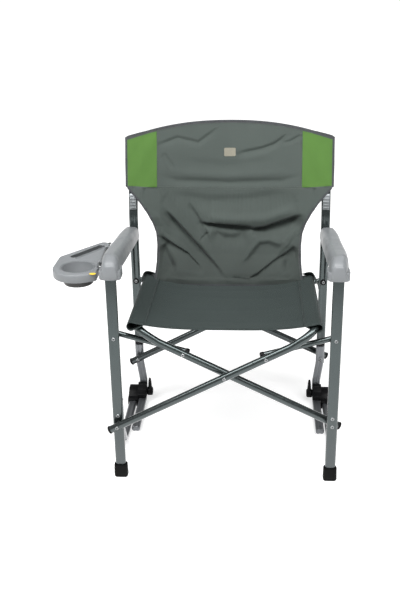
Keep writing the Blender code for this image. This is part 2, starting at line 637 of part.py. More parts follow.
# ---------------------------------------------------------------- fabric
def seat_fabric(chair):
    """Sling over both seat rails, sagging in the middle and wrapped down outside the rails."""
    outer = SEAT_RAIL_X + TUBE_R + 0.0015
    top = SEAT_RAIL_H + TUBE_R + 0.0012
    under = [(-outer, SEAT_RAIL_H - 0.010), (-outer, top - 0.006), (-outer + 0.006, top)]
    steps = 8
    for k in range(steps + 1):
        u = -1 + 2 * k / steps
        under.append((u * (SEAT_RAIL_X - 0.004), top - SEAT_SAG * (1 - u * u)))
    under += [(-x, h) for x, h in under[:3][::-1]]
    over = [(x * (outer + SEAT_THICK) / outer, h + SEAT_THICK * (abs(x) < outer)) for x, h in under]
    section = under + over[::-1]
    rings = [[on_axes(x, along, h) for x, h in section] for along in (SEAT_FRONT, SEAT_REAR)]
    chair.part("seat_fabric", "x_tube_a", loft(rings), "fabric_seat")


def back_half_width(z):
    """Half the width of the back panel at a height, from its outline."""
    for (z0, w0), (z1, w1) in zip(BACK_OUTLINE, BACK_OUTLINE[1:]):
        if z <= z1:
            return w0 + (w1 - w0) * (z - z0) / (z1 - z0)
    return BACK_OUTLINE[-1][1]


def back_fabric(chair):
    """Panel hung on both uprights, hollowed in the middle, one sheet thick all over."""
    levels = [BACK_LOW, 0.465, 0.495, 0.560, 0.605, 0.645, 0.700, 0.760, 0.805, 0.828, 0.856]
    across = [-1.0, -0.87, -0.6, -0.3, 0.0, 0.3, 0.6, 0.87, 1.0]
    columns = len(across)

    def point(z, u, skin):
        lean = max(0.0, z - UPRIGHT_BEND) * math.tan(BACK_LEAN)
        face = UPRIGHT_Y - OVAL_D / 2 - 0.0045 + lean
        x = u * back_half_width(z)
        inward = max(0.0, 1 - (x / (LEG_X - UPRIGHT_W)) ** 2)
        hollow = BACK_HOLLOW * min(1.0, (z - BACK_LOW) / 0.14) * inward
        belly = -BACK_BELLY * max(0.0, (0.50 - z) / (0.50 - BACK_LOW)) ** 1.5
        return Vector((x, face + hollow + belly - BACK_THICK * (1 - skin), z))

    bm = bmesh.new()
    skins = [[[bm.verts.new(point(z, u, skin)) for u in across] for z in levels]
             for skin in (0, 1)]
    rows = len(levels)
    for skin, reverse in ((0, False), (1, True)):
        for r in range(rows - 1):
            for c in range(columns - 1):
                quad = [skins[skin][r][c], skins[skin][r][c + 1], skins[skin][r + 1][c + 1],
                        skins[skin][r + 1][c]]
                bm.faces.new(quad[::-1] if reverse else quad)
    border = ([(0, c) for c in range(columns)] + [(r, columns - 1) for r in range(1, rows)]
              + [(rows - 1, c) for c in range(columns - 2, -1, -1)]
              + [(r, 0) for r in range(rows - 2, 0, -1)])
    for (r0, c0), (r1, c1) in zip(border, border[1:] + border[:1]):
        bm.faces.new((skins[0][r0][c0], skins[1][r0][c0], skins[1][r1][c1], skins[0][r1][c1]))
    bmesh.ops.recalc_face_normals(bm, faces=bm.faces)
    chair.part("back_fabric", "chair", bm, "fabric_back")


# ---------------------------------------------------------------- assembly
def make_bodies(chair):
    pivot = {sign: on_axes(sign * LEG_X, leg_along(0, PIVOT_H), PIVOT_H) for sign in (-1, 1)}
    chair.body("x_tube_a", "chair", pivot[-1])
    chair.body("x_tube_b", "x_tube_a", on_axes(0, 0, CROSS_H))
    chair.body("right_side", "x_tube_b", pivot[1])
    for side, sign, frame in (("left", -1, "chair"), ("right", 1, "right_side")):
        for end in ("front", "rear"):
            place = on_axes(sign * LEG_X, LINK_PLANES[end, side], LINK_H)
            chair.body(f"link_{end}_{side}", frame, place)
        chair.body(f"knob_{side}", frame, Vector((sign * RUNNER_X, *HEEL_AXIS)))
    chair.body("tray", "chair", Vector((-TRAY_PIN[0], TRAY_PIN_Y[0], TRAY_PIN[1])))


def main():
    clear_scene()
    chair = Chair()
    make_bodies(chair)
    side_frame(chair, "left", -1, "chair")
    side_frame(chair, "right", 1, "right_side")
    tube_a = scissor_tube(chair, "a", 1)
    tube_b = scissor_tube(chair, "b", -1)
    scissor_rivets(chair, tube_a, tube_b)
    links(chair, tube_a, tube_b)
    tray(chair)
    seat_fabric(chair)
    back_fabric(chair)


main()
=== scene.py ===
"""Looks for the side-folding director chair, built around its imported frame.

Shapes are drawn in the chair's design frame: x to the right as seen from the front, y to the
back, z up, with x = 0 midway between the front legs and y = 0 through them. ORIGIN moves that
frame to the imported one. "left" is the side at -x. Lengths are in metres.
"""

import math

import bmesh
import bpy
import numpy as np
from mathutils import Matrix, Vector
from mathutils.bvhtree import BVHTree


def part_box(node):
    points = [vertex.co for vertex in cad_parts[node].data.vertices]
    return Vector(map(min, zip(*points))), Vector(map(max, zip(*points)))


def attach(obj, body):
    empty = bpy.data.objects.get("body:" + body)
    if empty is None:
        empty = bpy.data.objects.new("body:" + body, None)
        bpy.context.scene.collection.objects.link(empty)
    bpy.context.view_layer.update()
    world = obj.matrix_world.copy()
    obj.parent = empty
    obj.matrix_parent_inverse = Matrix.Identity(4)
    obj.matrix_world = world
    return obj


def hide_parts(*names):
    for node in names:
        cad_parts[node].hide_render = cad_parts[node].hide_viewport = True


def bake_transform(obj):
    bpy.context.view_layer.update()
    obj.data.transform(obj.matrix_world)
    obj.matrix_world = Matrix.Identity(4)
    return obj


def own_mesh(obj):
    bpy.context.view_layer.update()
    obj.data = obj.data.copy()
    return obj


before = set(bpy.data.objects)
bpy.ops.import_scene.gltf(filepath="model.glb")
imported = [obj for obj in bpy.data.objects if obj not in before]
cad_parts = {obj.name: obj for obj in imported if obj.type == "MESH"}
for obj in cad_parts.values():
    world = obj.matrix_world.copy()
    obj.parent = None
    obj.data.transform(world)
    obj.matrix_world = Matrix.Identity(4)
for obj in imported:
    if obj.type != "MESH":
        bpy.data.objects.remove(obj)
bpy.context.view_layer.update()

# ---------------------------------------------------------------- places shared with the frame
leg_low, leg_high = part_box("front_leg_left")
ORIGIN = Vector(((leg_low[0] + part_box("front_leg_right")[1][0]) / 2,
                 (leg_low[1] + leg_high[1]) / 2, 0))

SIDES = (("left", -1, "left_side"), ("right", 1, "right_side"))     # side, its sign in x, its body
ENDS = ("front", "rear")
ACROSS, REARWARD, UPWARD = Vector((1, 0, 0)), Vector((0, 1, 0)), Vector((0, 0, 1))

LEG_X = 0.280
OVAL_W, OVAL_D, OVAL_R = 0.028, 0.016, 0.0062
FOOT_H, FOOT_SOLE = 0.038, 0.006
LEG_TOP = 0.602

UPRIGHT_W = 0.026
UPRIGHT_Y = 0.4605
UPRIGHT_LOW, UPRIGHT_BEND, UPRIGHT_TOP = 0.118, 0.585, 0.803
LEAN = math.tan(math.radians(14.8))

REAR_LEG_W = 0.024
REAR_LEG_X, REAR_LEG_Y, REAR_LEG_TOP = 0.2775, 0.4435, 0.184
RUNNER_X, RUNNER_END = 0.269, 0.224
RAIL_X, RAIL_END, RAIL_Z = 0.297, 0.437, 0.0105
RAIL_TOP = (0.2845, 0.0445, 0.206)
FLOOR_BEND = 0.045

TILT = math.radians(3.0)
AXIS = Vector((0.0, math.cos(TILT), -math.sin(TILT)))
UP_AXIS = Vector((0.0, math.sin(TILT), math.cos(TILT)))
PIVOT_H = 0.164 * math.cos(TILT)
LINK_H = 0.410 * math.cos(TILT)
SCISSOR_ANGLE = math.radians(27.2)
SCISSOR_ARM = LEG_X / math.cos(SCISSOR_ANGLE)
CROSS_H = PIVOT_H + LEG_X * math.tan(SCISSOR_ANGLE)
TUBE_R = 0.0100
TUBE_OVERHANG = 0.020
SEAT_RAIL_X, SEAT_RAIL_H, SEAT_BEND = 0.2355, 0.441, 0.050
# each scissor tube's place along the axes at the crossing, and at its low rivets
CROSS = {"a": {"front": -0.0316, "rear": 0.414}, "b": {"front": -0.0016, "rear": 0.444}}
LOW = {"a": CROSS["a"], "b": {"front": 0.0114, "rear": 0.4753}}
DIAGONAL_BEND, DIAGONAL_BEND_R = 0.170, 0.12
LINK_R = 0.0075
LINK_ALONG = 0.119
LINK_SKIRT = 0.0055
LINK_PLANES = {("front", "left"): 0.0150, ("front", "right"): -0.0030,
               ("rear", "left"): 0.4577, ("rear", "right"): 0.4577}

HEEL_AXIS = (0.430, 0.0255)
HEEL_INNER, HEEL_OUTER = 0.2820, 0.3120
KNOB_R = 0.0140


# ---------------------------------------------------------------- geometry
def on_axes(x, along, height):
    """A point given across, along and square to the scissor axes."""
    return Vector((x, along * math.cos(TILT) + height * math.sin(TILT),
                   height * math.cos(TILT) - along * math.sin(TILT)))


def round_section(radius, sides=40):
    step = 2 * math.pi / sides
    return [(radius * math.cos(i * step), radius * math.sin(i * step)) for i in range(sides)]


def oval_section(width, depth, radius=OVAL_R, steps=7, groove=0.0):
    """A rectangle with round corners and, where wanted, a shallow groove along both wide faces."""
    points = []
    flat = 9
    for corner, (sx, sy) in enumerate(((1, 1), (-1, 1), (-1, -1), (1, -1))):
        cx = sx * (width / 2 - radius)
        cy = sy * (depth / 2 - radius)
        for i in range(steps + 1):
            angle = math.pi / 2 * (corner + i / steps)
            points.append((cx + radius * math.cos(angle), cy + radius * math.sin(angle)))
        if groove and corner in (0, 2):
            for k in range(1, flat):
                t = 2 * k / flat - 1
                points.append((-sy * t * (width / 2 - radius),
                               sy * (depth / 2 - groove * math.cos(t * math.pi / 2) ** 2)))
    return points


def rounded_path(points, radii, steps=14):
    """Straight runs joined by arcs; radii has one value for each inner point."""
    path = [Vector(points[0])]
    for i, radius in enumerate(radii, start=1):
        corner = Vector(points[i])
        back = (Vector(points[i - 1]) - corner).normalized()
        ahead = (Vector(points[i + 1]) - corner).normalized()
        half = back.angle(ahead) / 2
        reach = radius / math.tan(half)
        centre = corner + (back + ahead).normalized() * (radius / math.sin(half))
        start = corner + back * reach - centre
        end = corner + ahead * reach - centre
        turn = start.angle(end)
        for k in range(steps + 1):
            t = k / steps
            mix = start * math.sin((1 - t) * turn) + end * math.sin(t * turn)
            path.append(centre + mix / math.sin(turn))
    path.append(Vector(points[-1]))
    return path


def loft(rings):
    """One closed body through rings of equal length, capped at both ends."""
    bm = bmesh.new()
    loops = [[bm.verts.new(p) for p in ring] for ring in rings]
    count = len(loops[0])
    for a, b in zip(loops, loops[1:]):
        for i in range(count):
            j = (i + 1) % count
            bm.faces.new((a[i], a[j], b[j], b[i]))
    bm.faces.new(loops[0][::-1])
    bm.faces.new(loops[-1])
    bmesh.ops.recalc_face_normals(bm, faces=bm.faces)
    return bm


def sweep(path, section, across, soften=0.0012):
    """Carry a section along a path, with both ends softened like a cut and deburred tube."""
    frames = []
    for i, point in enumerate(path):
        ahead = path[min(i + 1, len(path) - 1)] - point
        behind = point - path[max(i - 1, 0)]
        tangent = (ahead.normalized() + behind.normalized()).normalized()
        first = (across - tangent * across.dot(tangent)).normalized()
        frames.append((point, first, tangent.cross(first), tangent))
    half = max(abs(v) for _, v in section)

    def ring(place, shrink=0.0, shift=0.0):
        point, first, second, tangent = place
        scale = 1 - shrink / half
        return [point + tangent * shift + first * (u * scale) + second * (v * scale)
                for u, v in section]

    rounding = [(soften * (1 - math.sin(a)), soften * (1 - math.cos(a)))
                for a in (math.pi / 2 * k / 3 for k in range(3))]
    start = [ring(frames[0], shrink, back) for shrink, back in rounding]
    end = [ring(frames[-1], shrink, -back) for shrink, back in rounding]
    inner = [ring(place) for place in frames[1:-1]]
    first_full = [ring(frames[0], 0.0, soften)]
    last_full = [ring(frames[-1], 0.0, -soften)]
    return loft(start + first_full + inner + last_full + end[::-1])


def turned(start, axis, stations, sides=40):
    """A turned body: stations are (distance along the axis, radius)."""
    axis = axis.normalized()
    first = axis.orthogonal().normalized()
    second = axis.cross(first)
    return loft([[start + axis * d + first * u + second * v for u, v in round_section(r, sides)]
                 for d, r in stations])


def stacked(layers):
    """Loft through level outlines: layers are (height, [(x, y), ...])."""
    return loft([[Vector((x, y, z)) for x, y in outline] for z, outline in layers])


def joined(*bodies):
    """Several closed bodies as one mesh."""
    mesh = bpy.data.meshes.new("join")
    bm = bmesh.new()
    for body in bodies:
        body.to_mesh(mesh)
        bm.from_mesh(mesh)
        body.free()
    bpy.data.meshes.remove(mesh)
    return bm


def mesh_of(name, bm):
    """A body as mesh data; the body is used up."""
    mesh = bpy.data.meshes.new(name)
    bm.to_mesh(mesh)
    bm.free()
    return mesh


def linked(name, data):
    """A new object in the scene."""
    obj = bpy.data.objects.new(name, data)
    bpy.context.scene.collection.objects.link(obj)
    return obj


def coordinates(obj):
    return np.array([v.co[:] for v in obj.data.vertices])


def read_off(table, place):
    """Interpolate in a table of (place, amount)."""
    places, amounts = zip(*table)
    return np.interp(place, places, amounts)


def evaluated(obj):
    """Take an object's modifiers into its mesh."""
    graph = bpy.context.evaluated_depsgraph_get()
    mesh = bpy.data.meshes.new_from_object(obj.evaluated_get(graph))
    old = obj.data
    obj.modifiers.clear()
    obj.data = mesh
    bpy.data.meshes.remove(old)


WELD = 1e-5


def combined(target, tool, operation):
    """The exact boolean of two bodies."""
    objects = [linked("boolean", mesh_of("boolean", bm)) for bm in (target, tool)]
    modifier = objects[0].modifiers.new("boolean", "BOOLEAN")
    modifier.operation = operation
    modifier.solver = "EXACT"
    modifier.object = objects[1]
    evaluated(objects[0])
    bm = bmesh.new()
    bm.from_mesh(objects[0].data)
    for obj in objects:
        mesh = obj.data
        bpy.data.objects.remove(obj)
        bpy.data.meshes.remove(mesh)
    bmesh.ops.remove_doubles(bm, verts=bm.verts, dist=WELD)
    return bm


def piece(name, bm, looks, body, stands_for=(), sharp=38):
    """A finished piece from a body drawn in the design frame."""
    bmesh.ops.translate(bm, verts=bm.verts, vec=ORIGIN)
    mesh = mesh_of(name, bm)
    mesh.shade_smooth()
    mesh.set_sharp_from_angle(angle=math.radians(sharp))
    for look in looks if isinstance(looks, (list, tuple)) else (looks,):
        mesh.materials.append(look)
    obj = linked(name, mesh)
    if body:
        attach(obj, body)
    if stands_for:
        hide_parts(*stands_for)
    return obj


# ---------------------------------------------------------------- materials
class Look:
    """One node material, built on its Principled shader in the object's own coordinates."""

    def __init__(self, name, metallic=0.0, roughness=0.5, **sockets):
        self.material = bpy.data.materials.new(name)
        self.material.use_nodes = True
        self.tree = self.material.node_tree
        self.shader = self.tree.nodes["Principled BSDF"]
        self.shader.inputs["Metallic"].default_value = metallic
        self.shader.inputs["Roughness"].default_value = roughness
        for socket, value in sockets.items():
            self.shader.inputs[socket.replace("_", " ")].default_value = value
        self.place = self.node("ShaderNodeTexCoord").outputs["Object"]
        self.normal = None

    def node(self, kind, settings=None, **inputs):
        made = self.tree.nodes.new(kind)
        for key, value in (settings or {}).items():
            setattr(made, key, value)
        for key, value in inputs.items():
            self.feed(made.inputs[key.replace("_", " ")], value)
        return made

    def feed(self, socket, value):
        if isinstance(value, bpy.types.NodeSocket):
            self.tree.links.new(value, socket)
        else:
            socket.default_value = value

    def noise(self, scale, detail=3.0, stretch=None):
        place = self.place
        if stretch:
            place = self.node("ShaderNodeMapping", Vector=place, Scale=stretch).outputs["Vector"]
        return self.node("ShaderNodeTexNoise", Vector=place, Scale=scale, Detail=detail).outputs["Fac"]

    def waves(self, direction, pitch, wander=0.0):
        """Even threads across one direction; the texture repeats every pi / 10 at scale 1."""
        settings = {"bands_direction": direction, "wave_profile": "SIN"}
        return self.node("ShaderNodeTexWave", settings, Vector=self.place,
                         Scale=math.pi / 10 / pitch, Distortion=wander, Detail=1.0).outputs["Fac"]

    def spread(self, value, low, high, to_low=0.0, to_high=1.0):
        """Map low..high to to_low..to_high, held at both ends."""
        made = self.node("ShaderNodeMapRange", Value=value)
        for socket, number in zip(("From Min", "From Max", "To Min", "To Max"),
                                  (low, high, to_low, to_high)):
            made.inputs[socket].default_value = number
        return made.outputs["Result"]

    def maths(self, operation, first, second):
        made = self.node("ShaderNodeMath", {"operation": operation})
        for socket, value in zip(made.inputs, (first, second)):
            self.feed(socket, value)
        return made.outputs[0]

    def times(self, first, second):
        return self.maths("MULTIPLY", first, second)

    def plus(self, first, second):
        return self.maths("ADD", first, second)

    def blend(self, first, second, share):
        """Mix two colours; the mixing node's colour sockets are its inputs 6 and 7."""
        made = self.node("ShaderNodeMix", {"data_type": "RGBA", "blend_type": "MIX"})
        self.feed(made.inputs[0], share)
        for socket, colour in zip(made.inputs[6:8], (first, second)):
            self.feed(socket, colour if isinstance(colour, bpy.types.NodeSocket) else (*colour, 1.0))
        return made.outputs[2]

    def colour(self, value):
        self.feed(self.shader.inputs["Base Color"], value)

    def roughness(self, value):
        self.feed(self.shader.inputs["Roughness"], value)

    def bump(self, height, strength, distance):
        made = self.node("ShaderNodeBump", Height=height, Strength=strength, Distance=distance)
        if self.normal:
            self.feed(made.inputs["Normal"], self.normal)
        self.normal = made.outputs["Normal"]
        self.feed(self.shader.inputs["Normal"], self.normal)

    def height(self):
        return self.node("ShaderNodeSeparateXYZ", Vector=self.place).outputs["Z"]


def shade(colour, factor):
    return tuple(channel * factor for channel in colour)


def painted_steel(name, colour, metallic, roughness, floor_reflection):
    """Metallic powder coat: orange peel, flake, faint scuffs and a painted reflection of the floor, a
    lighter tint low down.
    """
    look = Look(name, metallic, Coat_Weight=0.35, Coat_Roughness=0.16)
    mottle = look.spread(look.noise(16, 2), 0.30, 0.70)
    flake = look.spread(look.noise(1600, 1), 0.40, 0.70)
    scuff = look.spread(look.noise(55, 7, (1.0, 1.0, 0.25)), 0.68, 0.78, 0.0, 0.20)
    base = look.blend(shade(colour, 0.95), shade(colour, 1.05), mottle)
    base = look.blend(base, shade(colour, 1.25), look.times(flake, 0.10))
    # painted reflection of the floor: the paint turns lighter towards the floor
    low = look.spread(look.height(), 0.36, 0.05, 0.0, 0.75)
    patchy = look.spread(mottle, 0, 1, 0.7, 1)
    base = look.blend(base, floor_reflection, look.times(low, patchy))
    base = look.blend(base, shade(colour, 1.9), look.times(scuff, 0.5))
    look.colour(base)
    uneven = look.spread(mottle, 0, 1, roughness - 0.02, roughness + 0.03)
    look.roughness(look.plus(uneven, look.times(scuff, 0.25)))
    look.bump(look.noise(260, 2), 0.006, 0.0003)
    return look.material


def moulded_plastic(name, colour, roughness, grain=0.25, specular=0.5):
    """Moulded plastic with a fine spark-eroded grain, cloudy gloss and light rubbing marks."""
    look = Look(name, Specular_IOR_Level=specular)
    cloud = look.spread(look.noise(22, 3), 0.35, 0.65)
    rub = look.spread(look.noise(60, 8, (1.0, 0.35, 1.0)), 0.60, 0.72, 0.0, 0.6)
    base = look.blend(shade(colour, 0.95), shade(colour, 1.05), cloud)
    base = look.blend(base, shade(colour, 1.30), look.times(rub, 0.30))
    look.colour(base)
    uneven = look.spread(cloud, 0, 1, roughness - 0.05, roughness + 0.05)
    look.roughness(look.plus(uneven, look.times(rub, 0.15)))
    look.bump(look.noise(1500, 2), grain, 0.0003)
    return look.material


def plated_metal(name, colour, roughness):
    """Zinc plate with turning marks, small stains and a slightly uneven sheen."""
    look = Look(name, 1.0)
    stain = look.spread(look.noise(240, 5), 0.45, 0.72)
    fine = look.noise(1800, 3)
    look.colour(look.blend(shade(colour, 1.05), shade(colour, 0.62), stain))
    look.roughness(look.spread(look.plus(stain, fine), 0.3, 1.7, roughness - 0.08, roughness + 0.18))
    look.bump(fine, 0.18, 0.0002)
    return look.material


DUST_COLOUR = (0.016, 0.0155, 0.0145)


def rubbery(name, colour):
    """Soft black rubber with floor dust caught low down."""
    look = Look(name, Specular_IOR_Level=0.07)
    dust = look.spread(look.noise(180, 6), 0.50, 0.75)
    low = look.spread(look.height(), 0.030, 0.002, 0.05, 0.6)
    look.colour(look.blend(colour, DUST_COLOUR, look.times(dust, low)))
    look.roughness(look.spread(dust, 0, 1, 0.48, 0.72))
    look.bump(look.noise(700, 3), 0.35, 0.0004)
    return look.material


def woven(name, colour, directions, pitch=0.0013, contrast=0.22, sheen=0.18, roughness=0.86,
          painted_shade_heights=None):
    """Plain-woven polyester canvas: two sets of threads, slubs, fading and a soft bloom.

    The last argument gives two heights: painted shade makes the cloth darker from the first down to the
    second.
    """
    look = Look(name, Sheen_Weight=sheen, Sheen_Roughness=0.45, Specular_IOR_Level=0.28)
    warp = look.waves(directions[0], pitch, 0.4)
    weft = look.waves(directions[1], pitch, 0.4)
    threads = look.times(look.plus(warp, weft), 0.5)
    slub = look.spread(look.noise(420, 3, (1.0, 1.0, 0.3)), 0.35, 0.70)
    fade = look.spread(look.noise(7, 4), 0.35, 0.65)
    tone = look.blend(shade(colour, 1.0 - contrast), shade(colour, 1.0 + contrast), threads)
    tone = look.blend(tone, shade(colour, 1.28), look.times(slub, 0.22))
    tone = look.blend(tone, shade(colour, 0.86), look.times(fade, 0.45))
    # painted shade: the cloth grows darker towards the bottom
    if painted_shade_heights:
        painted_shade_amount = look.spread(look.height(), *painted_shade_heights, 0.0, 0.90)
        patchy = look.spread(fade, 0, 1, 0.8, 1)
        tone = look.blend(tone, shade(colour, 0.45), look.times(painted_shade_amount, patchy))
    look.colour(tone)
    look.roughness(look.spread(slub, 0, 1, roughness - 0.06, roughness + 0.06))
    look.bump(threads, 0.55, 0.0005)
    look.bump(look.noise(900, 3), 0.20, 0.0003)
    return look.material


FRAME_COLOUR = (0.052, 0.065, 0.065)
PALE_COLOUR = (0.150, 0.158, 0.168)
# the lighter tint mixed into the paint near the floor is a painted reflection of the floor
FLOOR_REFLECTION = (0.070, 0.077, 0.079)
GREY_COLOUR = (0.160, 0.169, 0.176)
STEEL = painted_steel("frame_paint", FRAME_COLOUR, 0.85, 0.24, FLOOR_REFLECTION)
PALE = painted_steel("pale_paint", shade(PALE_COLOUR, 0.88), 0.70, 0.30,
                     shade(PALE_COLOUR, 1.05))
PRESSED = painted_steel("pressed_plate", (0.20, 0.215, 0.222), 0.75, 0.42, (0.24, 0.25, 0.26))
ZINC = plated_metal("zinc_plate", (0.30, 0.31, 0.315), 0.34)
# painted shade for the rivet recesses: a near-black copy of the zinc
RECESS_PAINTED_SHADE = plated_metal("rivet_recess_painted_shade", (0.035, 0.035, 0.037), 0.60)
GREY = moulded_plastic("arm_plastic", GREY_COLOUR, 0.36, specular=0.42)
# painted shade for the tray slot's walls: a darker copy of the arm plastic
SHADED = moulded_plastic("slot_painted_shade", shade(GREY_COLOUR, 0.42), 0.55, specular=0.15)
BLACK = moulded_plastic("black_plastic", (0.0045, 0.0045, 0.005), 0.40, specular=0.10)
RING = moulded_plastic("ring_plastic", (0.038, 0.037, 0.036), 0.38, specular=0.25)
YELLOW = moulded_plastic("yellow_plastic", (0.72, 0.50, 0.035), 0.40, 0.08)
RUBBER = rubbery("foot_rubber", (0.004, 0.004, 0.004))
# the back cloth carries painted shade, darker towards its bottom
BACK_CLOTH = woven("back_canvas", (0.052, 0.064, 0.058), ("X", "Z"), sheen=0.10,
                   painted_shade_heights=(0.60, 0.42))
SEAT_CLOTH = woven("seat_canvas", (0.020, 0.029, 0.0275), ("X", "Y"), sheen=0.05)
GREEN_CLOTH = woven("green_canvas", (0.060, 0.134, 0.026), ("X", "Z"), sheen=0.08)
BINDING = woven("binding_tape", (0.042, 0.045, 0.048), ("X", "Z"), 0.0009, 0.30, 0.12)
THREAD = woven("sewing_thread", (0.070, 0.078, 0.072), ("X", "Z"), 0.0005, 0.30, 0.10, 0.75)
SEAT_THREAD = woven("seat_thread", (0.026, 0.034, 0.032), ("X", "Y"), 0.0005, 0.30, 0.06, 0.75)
LABEL = woven("label_tape", (0.200, 0.190, 0.150), ("X", "Z"), 0.0007, 0.25, 0.12)


# ---------------------------------------------------------------- turned fastenings
HEAD_R, RECESS_R, RECESS_DEEP = 0.0048, 0.0018, 0.003
SHANK_R, SPACER_R, COLLAR_R, TAIL_R = 0.0040, 0.0060, 0.0058, 0.0056
EASE = 0.0006      # how far an edge is eased
# a hollow rivet's rolled head, from its recess out to its rim: (distance in, radius)
RIVET_HEAD = ((0.0016, 0.0001), (0.0016, 0.0015), (0.0003, RECESS_R), (0.0, 0.0024),
              (0.0002, 0.0034), (0.0009, 0.0044), (0.0016, HEAD_R), (0.0021, HEAD_R))


def darken_recess(bm, start, axis):
    """Give the recess in a rivet's head painted shade: a near-black copy of the zinc, dark like a deep
    hole.
    """
    for face in bm.faces:
        offset = face.calc_center_median() - start
        along = offset.dot(axis)
        if (offset - axis * along).length < RECESS_R and along < RECESS_DEEP:
            face.material_index = 1


def levels(node, axis):
    """A packed fastening's start, its length, and where along its axis its wide collars end."""
    points = coordinates(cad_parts[node]) - np.array(ORIGIN)
    centre = points.mean(axis=0)
    direction = np.array(axis)
    along = points @ direction
    radius = np.linalg.norm(points - centre - np.outer(along - centre @ direction, direction), axis=1)
    wide = np.unique(np.round(along[radius > COLLAR_R], 5))
    start = Vector(centre) + axis * float(along.min() - centre @ direction)
    return start, float(along.max() - along.min()), [float(w - along.min()) for w in wide]


def rivet(node, body):
    """A rolled rivet in the place of a packed one, with its washers and spacer."""
    start, length, wide = levels(node, AXIS)
    middle = [w for w in wide if 0.0035 < w < length - 0.0025]
    stations = [*RIVET_HEAD, (RIVET_HEAD[-1][0], SHANK_R)]
    stud = node.endswith("_stud")
    if middle:
        low = min(middle)
        high = length if stud or len(middle) < 2 else max(middle)
        stations += [(low, SHANK_R), (low, SPACER_R - EASE), (low + EASE, SPACER_R),
                     (high - EASE, SPACER_R), (high, SPACER_R - EASE)]
        if not stud and len(middle) > 1:
            stations.append((high, SHANK_R))
    if not stud:
        stations += [(length - 0.0015, SHANK_R), (length - 0.0015, TAIL_R), (length - EASE, TAIL_R),
                     (length, 0.0044)]
    bm = turned(start, AXIS, stations)
    darken_recess(bm, start, AXIS)
    piece(node + "_rolled", bm, (ZINC, RECESS_PAINTED_SHADE), body, (node,))


def blind_rivet(name, body, centre, axis):
    """A small rivet seen only by its head."""
    start = centre - axis * 0.0018
    bm = turned(start, axis, [*RIVET_HEAD[:-1], (0.0024, HEAD_R - 0.0008), (0.0030, 0.002)])
    darken_recess(bm, start, axis)
    piece(name, bm, (ZINC, RECESS_PAINTED_SHADE), body)


# ---------------------------------------------------------------- side frames
# the foot's outline from its sole to its inner lip: width, depth, height
FOOT_PROFILE = ((0.0300, 0.0185, 0.0000), (0.0330, 0.0212, 0.0006), (0.0352, 0.0232, 0.0022),
                (0.0364, 0.0244, 0.0050), (0.0366, 0.0246, 0.0070), (0.0358, 0.0238, 0.0078),
                (0.0358, 0.0238, 0.0088), (0.0364, 0.0243, 0.0096), (0.0360, 0.0239, 0.0200),
                (0.0354, 0.0233, 0.0340), (0.0350, 0.0230, 0.0366), (0.0338, 0.0219, 0.0378),
                (0.0318, 0.0199, FOOT_H), (0.0290, 0.0171, 0.0374), (0.0283, 0.0164, 0.0330))
FOOT_R = 0.0068
LEG_RIVET_Z = 0.188


def leg_foot(side, sign, body):
    x = sign * LEG_X
    leg = [Vector((x, 0, FOOT_SOLE + 0.0005)), Vector((x, 0, LEG_TOP))]
    piece(f"leg_tube_{side}", sweep(leg, oval_section(OVAL_W, OVAL_D), ACROSS), STEEL, body,
          (f"front_leg_{side}",))
    rings = [[Vector((x + u, v, z)) for u, v in oval_section(w, d, min(FOOT_R, d / 2 - 0.001))]
             for w, d, z in FOOT_PROFILE]
    piece(f"foot_cup_{side}", loft(rings), RUBBER, body, (f"front_foot_{side}",))
    face = Vector((x, -OVAL_D / 2, LEG_RIVET_Z))
    blind_rivet(f"leg_blind_rivet_{side}", body, face, REARWARD)


def upright_point(x, z):
    return Vector((x, UPRIGHT_Y + (z - UPRIGHT_BEND) * LEAN, z))


PLATE_LOW, PLATE_HIGH, PLATE_W = 0.607, 0.652, 0.020
RUNGS, RUNG_FIRST, RUNG_PITCH, RUNG_HALF = 5, 0.006, 0.0085, 0.0085
WASHER = ((-0.0016, 0.0074), (-0.0013, 0.0084), (-0.0004, 0.0088), (0.0006, 0.0084))


def upright(side, sign, body):
    x = sign * LEG_X
    path = rounded_path([(x, UPRIGHT_Y, UPRIGHT_LOW), (x, UPRIGHT_Y, UPRIGHT_BEND),
                         upright_point(x, UPRIGHT_TOP)], [0.10])
    section = oval_section(UPRIGHT_W, OVAL_D, groove=0.0021)
    piece(f"upright_tube_{side}", sweep(path, section, ACROSS), STEEL, body,
          (f"back_upright_{side}",))
    splice_plate(side, x, body)
    along = (UPRIGHT_Y - LINK_H * math.sin(TILT)) / math.cos(TILT) - OVAL_D / 2
    face = on_axes(x, along, LINK_H)
    piece(f"upright_washer_{side}", turned(face, AXIS, WASHER), BLACK, body)


def splice_plate(side, x, body):
    """The pressed plate of rungs over the joint of the upright's two lengths."""
    out = Vector((0, -math.cos(math.atan(LEAN)), math.sin(math.atan(LEAN))))
    along = Vector((0, out.z, -out.y))
    low, high = upright_point(x, PLATE_LOW), upright_point(x, PLATE_HIGH)
    plate = [place + out * (OVAL_D / 2 + 0.0006) for place in (low, high)]
    bodies = [sweep(plate, oval_section(PLATE_W, 0.0022, 0.0009, 3), ACROSS, EASE)]
    for k in range(RUNGS):
        middle = low + along * (RUNG_FIRST + RUNG_PITCH * k) + out * (OVAL_D / 2 + 0.0018)
        rung = [middle - ACROSS * RUNG_HALF, middle + ACROSS * RUNG_HALF]
        bodies.append(sweep(rung, oval_section(0.0042, 0.0026, 0.0012, 3), along, 0.0008))
    piece(f"splice_rungs_{side}", joined(*bodies), PRESSED, body,
          (f"splice_plate_{side}",))


RUNNER_HOLE_R, RUNNER_HOLE_FROM = 0.0028, 0.020     # the hole near the right runner's end
REAR_RIVET_Z = 0.132
# the domed cap on an open tube end: added width and depth, height above the end
DOME = ((0.0, 0.0005), (0.0014, 0.0009), (0.0016, 0.0028), (0.0008, 0.0034), (0.0, 0.0038),
        (-0.0012, 0.0056), (-0.0040, 0.0072), (-0.0085, 0.0080))
FLOOR_SECTION = oval_section(REAR_LEG_W, OVAL_D, groove=0.0010)


